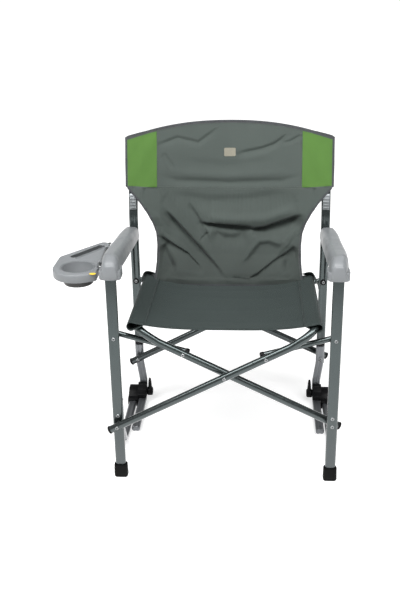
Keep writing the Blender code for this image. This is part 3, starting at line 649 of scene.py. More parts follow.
def rear_leg(side, sign, body):
    corners = [(sign * x, y, z) for x, y, z in (
        (REAR_LEG_X, REAR_LEG_Y, REAR_LEG_TOP), (REAR_LEG_X, REAR_LEG_Y, 0.126),
        (RUNNER_X, REAR_LEG_Y, 0.062), (RUNNER_X, REAR_LEG_Y, RAIL_Z), (RUNNER_X, RUNNER_END, RAIL_Z))]
    path = rounded_path(corners, [0.05, 0.05, FLOOR_BEND])
    tube = sweep(path, FLOOR_SECTION, ACROSS, 0.0032)
    if side == "right":
        hole = turned(Vector((sign * RUNNER_X, RUNNER_END + RUNNER_HOLE_FROM, RAIL_Z)), UPWARD,
                      [(0, RUNNER_HOLE_R), (0.02, RUNNER_HOLE_R)])
        tube = combined(tube, hole, "DIFFERENCE")
    piece(f"runner_tube_{side}", tube, PALE, body, (f"rear_leg_{side}",))
    dome_cap(f"rear_leg_cap_{side}", body, Vector(corners[0]))
    place = Vector((sign * (REAR_LEG_X + 0.001), REAR_LEG_Y - OVAL_D / 2, REAR_RIVET_Z))
    blind_rivet(f"rear_leg_rivet_{side}", body, place, REARWARD)


def dome_cap(node, body, place):
    """A domed plug with a thin collar on the open end of a flat-oval tube."""
    rings = []
    for grow, lift in DOME:
        width, depth = REAR_LEG_W + grow, OVAL_D + grow
        section = oval_section(width, depth, min(OVAL_R, depth / 2 - 4e-4))
        rings.append([place + Vector((u, v, lift)) for u, v in section])
    piece(node + "_dome", loft(rings), BLACK, body, (node,))


def ground_rail(side, sign, body):
    corners = [(sign * x, y, z) for x, y, z in (
        RAIL_TOP, (*RAIL_TOP[:2], 0.134), (RAIL_X, 0.165, RAIL_Z), (RAIL_X, RAIL_END, RAIL_Z))]
    path = rounded_path(corners, [0.05, 0.06])
    piece(f"rail_tube_{side}", sweep(path, FLOOR_SECTION, ACROSS), PALE, body,
          (f"ground_rail_{side}",))
    dome_cap(f"ground_rail_cap_{side}", body, Vector(corners[0]))


HEEL_OUTLINE = ((0.376, 0.0), (0.456, 0.0), (0.4565, 0.020), (0.451, 0.035), (0.440, 0.0435),
                (0.424, 0.0440), (0.408, 0.037), (0.396, 0.0235), (0.379, 0.0235))
HEEL_CENTRE = (0.420, 0.021)
HEEL_EDGES = ((0, 0.0022), (0.03, 0.0006), (0.08, 0), (0.92, 0), (0.97, 0.0006), (1, 0.0022))
SADDLE_EDGES = ((0, 0.0016), (0.05, 0.0004), (0.10, 0), (1, 0))      # share of the reach, inset
RUNNER_FACE = RUNNER_X - REAR_LEG_W / 2
BOLT = ((-0.0004, 0.0016), (0.0002, 0.0040), (0.0010, 0.0060), (0.0020, 0.0064))
BOLT_SHANK_R = 0.0030
# the knob: (distance from the tube, radius); its wing: (height, half width, half depth)
KNOB = ((0, 0.0118), (0.0012, 0.0134), (0.0030, KNOB_R), (0.0125, KNOB_R), (0.0155, 0.0130),
        (0.0170, 0.0105), (0.0158, 0.0082), (0.0158, 0.0040))
KNOB_LOBES, KNOB_POINTS = 8, 64
WING = ((0.004, 0.0090, 0.0080), (0.014, 0.0088, 0.0074), (0.024, 0.0082, 0.0064),
        (0.034, 0.0074, 0.0056), (0.041, 0.0062, 0.0046), (0.0445, 0.0044, 0.0032),
        (0.0460, 0.0022, 0.0018))
WING_FROM, WING_FLAT = 0.0085, 0.8


def around(centre, radius, degrees):
    """A point (y, z) of a circle."""
    angle = math.radians(degrees)
    return centre[0] + radius * math.cos(angle), centre[1] + radius * math.sin(angle)


def heel(side, sign, body):
    """The moulded block that joins both floor tubes, with its bolt and its turning knob."""
    outline = rounded_outline(HEEL_OUTLINE, 0.004)
    width = HEEL_OUTER - HEEL_INNER
    block = loft([[Vector((sign * (HEEL_INNER + width * share), *inward(p, HEEL_CENTRE, inset)))
                   for p in outline] for share, inset in HEEL_EDGES])
    rib = [Vector((sign * (HEEL_OUTER - 0.0004), *inward(p, HEEL_CENTRE, 0.0055))) for p in outline]
    raised = loft([rib, [p + ACROSS * (sign * 0.0012) for p in rib]])
    bend = (REAR_LEG_Y - FLOOR_BEND, RAIL_Z + FLOOR_BEND)
    arc = [(FLOOR_BEND - OVAL_D / 2 - 0.0006, -98 + 98 * k / 16) for k in range(17)]
    arc += [(0.0250, -4), (0.0225, -24), (0.0225, -49), (0.0225, -74), (0.0250, -94)]
    saddle = rounded_outline([around(bend, r, a) for r, a in arc], 0.0030)
    middle = around(bend, 0.0295, -48)
    reach = HEEL_INNER + 0.002 - RUNNER_FACE
    wrap = loft([[Vector((sign * (RUNNER_FACE + reach * share), *inward(p, middle, inset)))
                  for p in saddle] for share, inset in SADDLE_EDGES])
    piece(f"knuckle_block_{side}", joined(block, raised, wrap), BLACK, body,
          (f"heel_knuckle_{side}",))

    inwards = Vector((-sign, 0, 0))
    start, length, _ = levels(f"heel_bolt_{side}", inwards)
    stations = [*BOLT, (0.0022, BOLT_SHANK_R), (length, BOLT_SHANK_R)]
    piece(f"heel_bolt_{side}_turned", turned(start, inwards, stations), ZINC, body,
          (f"heel_bolt_{side}",))
    heel_knob(side, sign, inwards)


def heel_knob(side, sign, inwards):
    """A lobed knob with a wing standing up from it."""
    y, z = HEEL_AXIS
    face = Vector((sign * (RUNNER_FACE - 0.0005), y, z))
    rings = []
    for distance, radius in KNOB:
        ring = []
        for i, (u, v) in enumerate(round_section(radius, KNOB_POINTS)):
            turn = 2 * math.pi * i / KNOB_POINTS
            dent = 1 - 0.05 * (1 - math.cos(KNOB_LOBES * turn)) / 2
            ring.append(face + inwards * distance + Vector((0, u, v)) * dent)
        rings.append(ring)
    wing = []
    for height, w, d in WING:
        section = oval_section(2 * w, 2 * d * WING_FLAT, min(w, d * WING_FLAT) * 0.9, 4)
        wing.append([Vector((face.x + inwards.x * (WING_FROM + v), y + u, z + height))
                     for u, v in section])
    piece(f"knob_lobes_{side}", joined(loft(rings), loft(wing)), BLACK, f"knob_{side}",
          (f"heel_knob_{side}",))


def rounded_outline(points, radius, steps=5):
    """A closed outline with every corner rounded off."""
    result = []
    count = len(points)
    for i, point in enumerate(points):
        corner = Vector(point)
        back = Vector(points[i - 1]) - corner
        ahead = Vector(points[(i + 1) % count]) - corner
        reach = min(radius, back.length * 0.45, ahead.length * 0.45)
        a = corner + back.normalized() * reach
        b = corner + ahead.normalized() * reach
        for k in range(steps + 1):
            t = k / steps
            result.append(tuple(a * (1 - t) ** 2 + corner * 2 * t * (1 - t) + b * t * t))
    return result


def inward(point, centre, distance):
    """Move a point of an outline towards its middle."""
    offset = Vector(centre) - Vector(point)
    return tuple(Vector(point) + offset.normalized() * distance)


# ---------------------------------------------------------------- armrests
# y, inner and outer distance from the middle plane, top and bottom height
ARM_STATIONS = (
    (-0.0310, 0.2630, 0.2930, 0.6080, 0.5800), (-0.0270, 0.2560, 0.2985, 0.6175, 0.5775),
    (-0.0150, 0.2530, 0.3020, 0.6255, 0.5765), (0.0050, 0.2530, 0.3040, 0.6295, 0.5765),
    (0.0220, 0.2565, 0.3060, 0.6290, 0.5765), (0.0330, 0.2580, 0.3075, 0.6275, 0.5760),
    (0.1200, 0.2580, 0.3110, 0.6130, 0.5630), (0.2400, 0.2590, 0.3105, 0.5950, 0.5475),
    (0.3600, 0.2610, 0.3130, 0.5750, 0.5300), (0.4515, 0.2630, 0.3110, 0.5580, 0.5180))
NOSE_FROM, NOSE_REACH, NOSE_INSET = -0.0271, 0.0066, 0.0170
COLLAR_X, COLLAR_Y = (0.2508, 0.3056), (-0.0275, 0.0245)
COLLAR_Z = (0.5765, 0.5985)
# the collar's edges: how far in, from which of its heights, how far above that
COLLAR_EDGES = ((0.0060, 0, 0.0), (0.0030, 0, 0.0003), (0.0012, 0, 0.0010), (0.0003, 0, 0.0024),
                (0.0, 0, 0.0042), (0.0001, 1, 0.0), (0.0005, 1, 0.0008), (0.0016, 1, 0.0014),
                (0.0045, 1, 0.0016))
COLLAR_CORNER = 0.0130
NOSE_TAPER, ARM_TAPER = 0.26, 0.14     # how much narrower the arm is at its crown
RECESS_ROOM = 0.0030                   # added to the leg's width and depth


def smooth_rows(rows, samples):
    """Catmull-Rom samples through rows of numbers, evenly shared between them."""
    result = []
    last = len(rows) - 1
    for i in range(last):
        p = [np.array(rows[max(0, min(last, i + k))]) for k in (-1, 0, 1, 2)]
        for k in range(samples):
            t = k / samples
            result.append(0.5 * (2 * p[1] + (p[2] - p[0]) * t
                                 + (2 * p[0] - 5 * p[1] + 4 * p[2] - p[3]) * t ** 2
                                 + (3 * p[1] - p[0] - 3 * p[2] + p[3]) * t ** 3))
    result.append(np.array(rows[last]))
    return result


def leg_recess(sign):
    """The room round the leg where it enters the arm."""
    leg = Vector((sign * LEG_X, 0, 0))
    section = oval_section(OVAL_W + RECESS_ROOM, OVAL_D + RECESS_ROOM, 0.0068)
    return loft([[leg + Vector((u, v, z)) for u, v in section] for z in (0.560, 0.5825)])


def armrest(side, sign, body):
    def ring(y, inner, outer, top, bottom, inset=0.0):
        """The crown is rounder than the underside."""
        width, height = outer - inner - 2 * inset, top - bottom - 2 * inset
        middle = sign * (inner + outer) / 2
        taper = float(np.interp(y, (-0.03, 0.10), (NOSE_TAPER, ARM_TAPER)))
        points = []
        for u, v in oval_section(width, height, min(width, height) * 0.32, 9):
            lift = 0.0022 * (1 - (2 * u / width) ** 2) if v > 0 else 0.0
            narrow = 1 - taper * max(0.0, v / height + 0.5)
            points.append(Vector((middle + u * narrow, y,
                                  (top + bottom) / 2 + v - 0.0016 * (v > 0) + lift)))
        return points

    rows = [row for row in smooth_rows(ARM_STATIONS, 5) if row[0] > NOSE_FROM]
    nose = [ring(rows[0][0] - NOSE_REACH * math.cos(a), *rows[0][1:],
                 inset=NOSE_INSET * (1 - math.sin(a)))
            for a in (math.pi / 2 * k / 9 for k in range(9))]
    tail = [ring(rows[-1][0] + back, *rows[-1][1:], inset=inset)
            for back, inset in ((0.0003, 0.0006), (0.0006, 0.0020))]
    arm = combined(loft(nose + [ring(*row) for row in rows] + tail), leg_recess(sign), "DIFFERENCE")
    piece(f"arm_{side}", arm, GREY, body, (f"armrest_{side}",), 45)

    width, depth = COLLAR_X[1] - COLLAR_X[0], COLLAR_Y[1] - COLLAR_Y[0]
    centre = Vector((sign * sum(COLLAR_X) / 2, sum(COLLAR_Y) / 2, 0))
    rings = []
    for inset, level, above in COLLAR_EDGES:
        section = oval_section(width - 2 * inset, depth - 2 * inset, COLLAR_CORNER - inset)
        rings.append([centre + Vector((u, v, COLLAR_Z[level] + above)) for u, v in section])
    collar = combined(loft(rings), leg_recess(sign), "DIFFERENCE")
    piece(f"arm_collar_{side}", collar, GREY, body)


# ---------------------------------------------------------------- scissor frame and links
def scissor_point(letter, sign, end, r):
    """A point of a scissor tube's diagonal, r from the crossing towards the seat rail."""
    cross, low = CROSS[letter][end], LOW[letter][end]
    return on_axes(sign * r * math.cos(SCISSOR_ANGLE), cross + (cross - low) * r / SCISSOR_ARM,
                   CROSS_H + r * math.sin(SCISSOR_ANGLE))


def scissor_tube(letter, sign):
    body = f"x_tube_{letter}"

    def rail(end):
        top = scissor_point(letter, sign, end, SEAT_RAIL_X / math.cos(SCISSOR_ANGLE))
        return on_axes(sign * SEAT_RAIL_X, top.dot(AXIS), SEAT_RAIL_H)

    bend = DIAGONAL_BEND / math.cos(SCISSOR_ANGLE)
    reach = -SCISSOR_ARM - TUBE_OVERHANG
    front, rear = ([scissor_point(letter, sign, end, reach), scissor_point(letter, sign, end, bend),
                    rail(end)] for end in ENDS)
    path = rounded_path(front + rear[::-1], [DIAGONAL_BEND_R, SEAT_BEND, SEAT_BEND, DIAGONAL_BEND_R], 18)
    piece(f"scissor_tube_{letter}", sweep(path, round_section(TUBE_R, 48), UP_AXIS), STEEL, body,
          (body,))
    for end in ENDS:
        tip = scissor_point(letter, sign, end, reach)
        outward = (tip - scissor_point(letter, sign, end, 0)).normalized()
        plug(f"{body}_cap_{end}", body, tip, outward, TUBE_R)


def plug(node, body, tip, outward, radius, skirt=0.0):
    """A push-in end plug with a rolled lip and a shallow dish; the skirt is the lip's added length."""
    lip = radius + 0.0008
    stations = [(0.0004 - skirt, radius - 0.001), (0.0005 - skirt, lip - 0.0004), (0.0011 - skirt, lip),
                (0.0034, lip), (0.0046, lip - 0.0007), (0.0055, lip - 0.0024), (0.0058, lip - 0.0042),
                (0.0052, lip - 0.0052), (0.0050, 0.0008)]
    piece(node + "_plug", turned(tip, outward, stations), BLACK, body, (node,))


def link(end, side, sign):
    body = f"link_{end}_{side}"
    plane = LINK_PLANES[end, side]
    outer = on_axes(sign * LEG_X, plane, LINK_H)
    inner = on_axes(sign * LINK_ALONG * math.cos(SCISSOR_ANGLE), plane,
                    CROSS_H + LINK_ALONG * math.sin(SCISSOR_ANGLE))
    along = (inner - outer).normalized()
    tip = inner + along * 0.010
    path = [outer - along * 0.012, outer, (outer + inner) / 2, inner, tip - along * LINK_SKIRT]
    piece(f"link_tube_{end}_{side}", sweep(path, round_section(LINK_R), UP_AXIS), STEEL, body,
          (body,))
    plug(f"{body}_cap", body, tip, along, LINK_R, LINK_SKIRT)


def fastenings():
    for end in ENDS:
        rivet(f"cross_rivet_{end}", "x_tube_a")
        for side, _, frame_body in SIDES:
            rivet(f"{end}_pivot_rivet_{side}", frame_body)
            rivet(f"link_{end}_{side}_rivet", frame_body)
            rivet(f"tube_{end}_{side}_stud", "x_tube_b" if side == "left" else "x_tube_a")


# ---------------------------------------------------------------- cup tray
TRAY_TOP, TRAY_THICK, TRAY_RECESS = 0.5735, 0.022, 0.004
TRAY_BOTTOM = TRAY_TOP - TRAY_THICK
CUP_CENTRE, CUP_R = (0.3760, 0.0790), 0.044
TRAY_PIN, TRAY_PIN_R = (0.3170, 0.5835), 0.0030
TRAY_BORE_R, TRAY_EYE_R = 0.0035, 0.0062
TRAY_LUG_ROOT = (0.3262, 0.5625, 0.0045)
TRAY_EDGE = TRAY_PIN[0] + 0.0045
# outlines round circles: x outwards, y, radius
TRAY_OUTLINE = ((TRAY_EDGE + 0.010, 0.040, 0.010), (*CUP_CENTRE, 0.064), (0.4140, 0.1450, 0.024),
                (0.3370, 0.2560, 0.0150))
TRAY_WEB = ((0.3300, 0.1290, 0.0050), (0.3880, 0.1414, 0.0060), (0.3284, 0.2285, 0.0050))
TRAY_SLOT = ((0.3993, 0.1566, 0.0095), (0.3413, 0.2386, 0.0095))
SLOT_NEAR = 0.0105                     # faces this near the slot's middle line are its walls
TRAY_LUGS = ((0.075, 0.095), (0.190, 0.210))
CUP_WAIST, CUP_LOW = 0.545, 0.530
CUP_FACETS = 96
BADGE_PLACE, BADGE_HALF, BADGE_POINTS = (-0.3290, 0.0290), (0.0085, 0.0052), 40


def hull_outline(circles, steps, grow=0.0):
    """Convex outline round circles (x, y, radius) listed counter-clockwise."""
    circles = [(x, y, r + grow) for x, y, r in circles]
    points = []
    count = len(circles)
    for i, (x, y, r) in enumerate(circles):
        def tangent(first, second):
            dx, dy = second[0] - first[0], second[1] - first[1]
            return (math.atan2(dy, dx) - math.pi / 2
                    + math.asin((first[2] - second[2]) / math.hypot(dx, dy)))
        start = tangent(circles[i - 1], circles[i])
        end = tangent(circles[i], circles[(i + 1) % count])
        while end < start:
            end += 2 * math.pi
        n = max(4, round(steps * (end - start) / (2 * math.pi)))
        points += [(x + r * math.cos(start + (end - start) * k / n),
                    y + r * math.sin(start + (end - start) * k / n)) for k in range(n + 1)]
    return points


def tray_stack(circles, layers, steps):
    """Stack grown or shrunken outlines: layers are (height, growth)."""
    return stacked([(z, [(-u, v) for u, v in hull_outline(circles, steps, grow)]) for z, grow in layers])


def tray_plate():
    bottom, top = TRAY_BOTTOM, TRAY_TOP
    recess = top - TRAY_RECESS
    edge = [(bottom, -0.0022), (bottom + 0.0006, -0.0008), (bottom + 0.0020, 0.0),
            (top - 0.0030, 0.0), (top - 0.0013, -0.0004), (top - 0.0004, -0.0013), (top, -0.0030)]
    plate = tray_stack(TRAY_OUTLINE, edge, CUP_FACETS)
    web = tray_stack(TRAY_WEB, [(recess, -0.0012), (recess + 0.0008, 0.0), (top - 0.0012, 0.0006),
                                (top - 0.0002, 0.0018), (top + 0.004, 0.0060)], 48)
    cup = tray_stack([(*CUP_CENTRE, CUP_R), (CUP_CENTRE[0] + 1e-4, CUP_CENTRE[1], CUP_R)],
                     [(bottom - 0.010, 0.0), (top - 0.0022, 0.0), (top - 0.0006, 0.0008),
                      (top + 0.0004, 0.0026)], CUP_FACETS)
    slot = tray_stack(TRAY_SLOT, [(bottom - 0.010, 0.0), (recess, 0.0), (top - 0.0010, 0.0004),
                                  (top + 0.002, 0.0030)], 36)
    for hole in (web, cup, slot):
        plate = combined(plate, hole, "DIFFERENCE")
    for low, high in TRAY_LUGS:
        layers = []
        for y, grow in ((low, -0.001), (low + 0.0008, 0.0), (high - 0.0008, 0.0), (high, -0.001)):
            eye = hull_outline([(*TRAY_PIN, TRAY_EYE_R), TRAY_LUG_ROOT], 48, grow)
            layers.append([Vector((-u, y, v)) for u, v in eye])
        plate = combined(plate, loft(layers), "UNION")
    bore = turned(Vector((-TRAY_PIN[0], 0.02, TRAY_PIN[1])), REARWARD,
                  [(0, TRAY_BORE_R), (0.25, TRAY_BORE_R)])
    plate = combined(plate, bore, "DIFFERENCE")
    first, last = (Vector((-x, y)) for x, y, _ in TRAY_SLOT)
    # the slot's walls take the darker copy of the plastic: painted shade in the slot
    for face in plate.faces:
        middle = face.calc_center_median()
        share = (middle.xy - first).dot(last - first) / (last - first).length_squared
        near = (middle.xy - first.lerp(last, min(1.0, max(0.0, share)))).length
        if near < SLOT_NEAR and abs(face.normal.z) < 0.5 and middle.z < top - 0.001:
            face.material_index = 1
    piece("tray_plate", plate, (GREY, SHADED), "cup_tray", ("cup_tray",), 32)


def cup_sleeve():
    """The tapered ring in the cup hole: grey inside, dark where it hangs below the tray."""
    rim = CUP_R - 0.0005
    profile = [(TRAY_TOP - 0.0016, rim), (TRAY_TOP - 0.0010, rim - 0.0008),
               (TRAY_TOP - 0.0012, rim - 0.0022), (0.5600, rim - 0.0042)]
    profile += [(z, CUP_R - inset) for z, inset in (
        (CUP_WAIST, 0.0074), (CUP_LOW + 0.004, 0.0094), (CUP_LOW + 0.003, 0.0112),
        (CUP_LOW + 0.003, 0.0156), (CUP_LOW + 0.0015, 0.0162), (CUP_LOW, 0.0152), (CUP_LOW, 0.0076),
        (CUP_LOW + 0.0012, 0.0062), (CUP_WAIST - 0.0030, 0.0042), (CUP_WAIST, 0.0034),
        (CUP_WAIST + 0.0004, 0.0042), (0.5560, 0.0016))]
    profile.append((0.5600, rim))
    bm = bmesh.new()
    verts = [bm.verts.new((-CUP_CENTRE[0] + r, CUP_CENTRE[1], z)) for z, r in profile]
    edges = [bm.edges.new((verts[i], verts[(i + 1) % len(verts)])) for i in range(len(verts))]
    bmesh.ops.spin(bm, geom=verts + edges, cent=(-CUP_CENTRE[0], CUP_CENTRE[1], 0), axis=(0, 0, 1),
                   angle=2 * math.pi, steps=CUP_FACETS, use_merge=True)
    bmesh.ops.remove_doubles(bm, verts=bm.verts, dist=WELD)
    bmesh.ops.recalc_face_normals(bm, faces=bm.faces)
    for face in bm.faces:
        middle = face.calc_center_median()
        x, y = middle.x + CUP_CENTRE[0], middle.y - CUP_CENTRE[1]
        inside = face.normal.x * x + face.normal.y * y < 0
        if middle.z > TRAY_BOTTOM or (inside and math.hypot(x, y) > CUP_R - 0.0120):
            face.material_index = 1
    piece("cup_sleeve", bm, (RING, GREY), "cup_tray", ("cup_ring",))


def tray_badge():
    """A plain yellow oval on the tray."""
    layers = []
    for lift, scale in ((-0.0004, 1.0), (0.0004, 1.0), (0.0008, 0.93), (0.0010, 0.70)):
        turns = [2 * math.pi * k / BADGE_POINTS for k in range(BADGE_POINTS)]
        layers.append((TRAY_TOP + lift, [(BADGE_PLACE[0] + BADGE_HALF[0] * scale * math.cos(a),
                                          BADGE_PLACE[1] + BADGE_HALF[1] * scale * math.sin(a))
                                         for a in turns]))
    piece("tray_badge", stacked(layers), YELLOW, "cup_tray")


def tray_pin():
    """The U-shaped rod on which the tray turns, with both ends in the arm."""
    box_low, box_high = (Vector(corner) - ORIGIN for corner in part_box("tray_hinge_pin"))
    x, z = -TRAY_PIN[0], TRAY_PIN[1]
    front, rear = box_low.y + TRAY_PIN_R, box_high.y - TRAY_PIN_R
    corners = [(box_high.x, front, z), (x, front, z), (x, rear, z), (box_high.x, rear, z)]
    path = rounded_path(corners, [0.004, 0.004], 8)
    piece("tray_pin_rod", sweep(path, round_section(TRAY_PIN_R, 24), UPWARD, 0.0004), ZINC,
          "left_side", ("tray_hinge_pin",))


# ---------------------------------------------------------------- cloth helpers
CLOTH_THICK = 0.0012
SETTLE_CAP, SETTLE_FRAMES = 0.008, 14
STITCH, STITCH_GAP, STITCH_STEP = 0.0030, 0.0014, 0.0022
THREAD_R, THREAD_LIFT = 0.00038, 0.0003


def smoothstep(low, high, value):
    t = np.clip((value - low) / (high - low), 0.0, 1.0)
    return t * t * (3 - 2 * t)


def crease(points, line, width, sharp=1.0, taper=0.25):
    """Strength of a fold along a line of (u, v) points: 1 on the line, fading over its width.

    The side to the left of the line's direction fades over `sharp` times that width.
    """
    best = np.full(len(points), 1e9)
    share = np.zeros(len(points))
    side = np.zeros(len(points))
    nodes = np.array(line, dtype=float)
    lengths = np.linalg.norm(np.diff(nodes, axis=0), axis=1)
    done = 0.0
    for a, b, length in zip(nodes, nodes[1:], lengths):
        ahead = (b - a) / length
        offset = points - a
        t = np.clip((offset @ ahead) / length, 0.0, 1.0)
        distance = np.linalg.norm(offset - np.outer(t * length, ahead), axis=1)
        closer = distance < best
        best[closer] = distance[closer]
        share[closer] = (done + t[closer] * length) / lengths.sum()
        side[closer] = (ahead[0] * offset[:, 1] - ahead[1] * offset[:, 0])[closer]
        done += length
    first, last = width
    spread = (first + (last - first) * share) * np.where(side > 0, sharp, 1.0)
    ends = smoothstep(0.0, taper, share + 0.05) * smoothstep(0.0, taper, 1.05 - share)
    return np.exp(-(best / spread) ** 2) * ends


def grid_mesh(rows, looks_of=None):
    """Quads over rows of points; looks_of(row, column) gives each quad's material."""
    bm = bmesh.new()
    verts = [[bm.verts.new(p) for p in row] for row in rows]
    for r in range(len(rows) - 1):
        for c in range(len(rows[0]) - 1):
            face = bm.faces.new((verts[r][c], verts[r][c + 1], verts[r + 1][c + 1], verts[r + 1][c]))
            if looks_of:
                face.material_index = looks_of(r, c)
    return bm


def cloth_area(bm):
    return sum(face.calc_area() for face in bm.faces)


def thicken(obj):
    modifier = obj.modifiers.new("thickness", "SOLIDIFY")
    modifier.thickness = CLOTH_THICK
    modifier.offset = 0.0
    modifier.use_even_offset = True
    modifier.use_rim = True
    evaluated(obj)
    obj.data.shade_smooth()
    obj.data.set_sharp_from_angle(angle=math.radians(50))


def settle(obj, pins, slack):
    """Let a cloth find its own small wrinkles between its pinned points, then keep the result."""
    held = obj.vertex_groups.new(name="held")
    for index, weight in enumerate(pins):
        held.add([index], float(weight), "REPLACE")
    before = coordinates(obj)
    modifier = obj.modifiers.new("cloth", "CLOTH")
    cloth = modifier.settings
    cloth.quality = 6
    cloth.mass = 0.25
    cloth.tension_stiffness = cloth.compression_stiffness = 18
    cloth.shear_stiffness = 8
    cloth.bending_stiffness = 0.35
    cloth.shrink_min = cloth.shrink_max = -slack
    cloth.vertex_group_mass = "held"
    cloth.effector_weights.gravity = 0.15
    modifier.collision_settings.use_collision = False
    modifier.collision_settings.use_self_collision = False
    modifier.point_cache.frame_start = 1
    modifier.point_cache.frame_end = SETTLE_FRAMES
    scene = bpy.context.scene
    for number in range(1, SETTLE_FRAMES + 1):
        scene.frame_set(number)
        bpy.context.view_layer.update()
    evaluated(obj)
    scene.frame_set(1)
    obj.vertex_groups.clear()
    move = coordinates(obj) - before
    length = np.linalg.norm(move, axis=1, keepdims=True)
    move *= np.minimum(1.0, SETTLE_CAP / np.maximum(length, 1e-9))
    obj.data.vertices.foreach_set("co", (before + move).ravel())
    obj.data.update()


def surface(obj):
    return BVHTree.FromPolygons([v.co[:] for v in obj.data.vertices],
                                [p.vertices[:] for p in obj.data.polygons])


def stitches(tree, line, ray):
    """Thread stitches laid on a surface under a line of design-frame points."""
    start = -ray * 0.08
    hits = []
    for a, b in zip(line, line[1:]):
        count = max(1, round((b - a).length / STITCH_STEP))
        for k in range(count):
            point = a.lerp(b, k / count) + ORIGIN + start
            hit = tree.ray_cast(point, ray)
            if hit[0] is not None:
                hits.append(hit[0] - ray * THREAD_LIFT - ORIGIN)
    bodies = []
    run = 0.0
    begin = hits[0] if hits else None
    for a, b in zip(hits, hits[1:]):
        run += (b - a).length
        if run >= STITCH:
            across = (b - begin).cross(ray).normalized()
            middle = (begin + b) / 2 - ray * THREAD_R * 0.6
            bodies.append(sweep([begin + ray * THREAD_R, middle, b + ray * THREAD_R],
                                round_section(THREAD_R, 6), across, THREAD_R * 0.5))
            run = -STITCH_GAP
            begin = b
        if run <= 0:
            begin = b
    return bodies


# ---------------------------------------------------------------- back
FACE_Y = UPRIGHT_Y - OVAL_D / 2 - 0.0030
SLEEVE_FROM = 0.2430
PANEL_EDGE = 0.2475
PATCH_FROM = 0.210
BACK_TOP = 0.8535
BACK_ARCH = 0.0430
BACK_LOW = 0.4040
BINDING_H = 0.0090
BEFORE_BACK = 0.40           # y of points in front of the back, from which rays are cast
LABEL_BOX, LABEL_Z = (-0.015, 0.018, 0.7535, 0.7765), 0.765
# the back's side edge: (height, distance from the middle)
BACK_SIDES = ((0.404, 0.2200), (0.440, 0.2130), (0.468, 0.2100), (0.508, 0.2105), (0.541, 0.2140),
              (0.570, 0.2240), (0.597, 0.2380), (0.6255, 0.2570), (0.647, 0.2760), (0.668, 0.2950),
              (0.692, 0.3000), (0.900, 0.3000))
SLEEVE_OUT = 0.3000


def half_width(z):
    return read_off(BACK_SIDES, z)


def top_edge(x):
    return BACK_TOP - BACK_ARCH * (abs(x) / SLEEVE_OUT) ** 2.3


def seam_height(x):
    return 0.6640 + 0.0070 * (x / 0.216) ** 2


def back_plane(z):
    """The flat front of the back cloth, over the uprights' front faces."""
    return FACE_Y + np.maximum(0.0, z - UPRIGHT_BEND) * LEAN


# how far the lower part comes forward to the seat: (height, distance)
BELLY = ((0.400, -0.0800), (0.412, -0.0795), (0.425, -0.0770), (0.445, -0.0660), (0.470, -0.0420),
         (0.500, -0.0180), (0.530, -0.0050), (0.560, 0.0), (0.900, 0.0))

# folds in the loose middle of the back, each from left to right: depth (+ into the cloth), width
# of its soft lower side at both ends, share of that width above the line, line of (x, z)
FOLDS = (
    (0.0170, (0.016, 0.024), 0.30, ((-0.186, 0.602), (-0.150, 0.560), (-0.105, 0.512), (-0.062, 0.474),
                                    (-0.012, 0.430))),
    (0.0060, (0.012, 0.007), 0.40, ((-0.120, 0.624), (-0.096, 0.588), (-0.070, 0.545), (-0.050, 0.500))),
    (0.0030, (0.005, 0.004), 0.60, ((-0.084, 0.520), (-0.060, 0.541))),
    (0.0180, (0.012, 0.020), 0.22, ((-0.082, 0.567), (-0.046, 0.562), (-0.010, 0.558), (0.032, 0.554),
                                    (0.070, 0.552))),
    (0.0110, (0.016, 0.016), 0.80, ((-0.052, 0.540), (-0.015, 0.522), (0.018, 0.520), (0.055, 0.532))),
    (0.0200, (0.012, 0.034), 0.22, ((0.060, 0.549), (0.100, 0.551), (0.149, 0.566), (0.212, 0.588))),
    (-0.0090, (0.007, 0.012), 0.90, ((0.034, 0.466), (0.060, 0.494), (0.086, 0.522), (0.118, 0.526),
                                     (0.165, 0.512))),
    (-0.0060, (0.016, 0.016), 0.80, ((-0.070, 0.584), (0.020, 0.576), (0.100, 0.578), (0.196, 0.612))),
    (0.0100, (0.012, 0.010), 0.35, ((0.052, 0.420), (0.106, 0.452), (0.144, 0.476), (0.190, 0.496))),
    (0.0110, (0.016, 0.010), 0.30, ((-0.212, 0.532), (-0.159, 0.503), (-0.121, 0.484), (-0.070, 0.442))),
    (0.0240, (0.034, 0.024), 0.60, ((-0.205, 0.500), (-0.160, 0.440))),
    (0.0180, (0.020, 0.030), 0.70, ((0.160, 0.452), (0.205, 0.490))),
    (0.0050, (0.006, 0.005), 0.60, ((0.010, 0.430), (0.060, 0.424))),
    (0.0036, (0.013, 0.010), 0.70, ((-0.205, 0.702), (-0.150, 0.686), (0.0, 0.6790), (0.150, 0.686),
                                    (0.208, 0.703))),
    (-0.0016, (0.012, 0.010), 1.0, ((-0.190, 0.718), (-0.100, 0.704), (0.0, 0.699), (0.100, 0.704),
                                    (0.190, 0.718))),
    (0.0034, (0.012, 0.008), 0.40, ((-0.212, 0.785), (-0.150, 0.806), (-0.090, 0.792), (-0.034, 0.830))),
    (0.0044, (0.014, 0.008), 0.40, ((0.020, 0.758), (0.094, 0.774), (0.131, 0.788), (0.168, 0.816))),
    (0.0030, (0.007, 0.006), 0.50, ((0.150, 0.790), (0.177, 0.797), (0.208, 0.815))),
    (0.0022, (0.010, 0.008), 0.60, ((-0.192, 0.764), (-0.160, 0.720))),
    (0.0020, (0.020, 0.016), 0.70, ((-0.150, 0.740), (-0.020, 0.725), (0.130, 0.745))),
    (0.0035, (0.022, 0.022), 0.60, ((-0.170, 0.650), (-0.060, 0.628), (0.050, 0.632), (0.170, 0.650))),
)


FOLD_SCALE = 1.35


def hollow(x, z):
    """How far the cloth hangs back between the uprights."""
    return 0.022 * np.maximum(0.0, 1 - (x / 0.254) ** 2) * np.clip((z - 0.44) / 0.14, 0.0, 1.0)


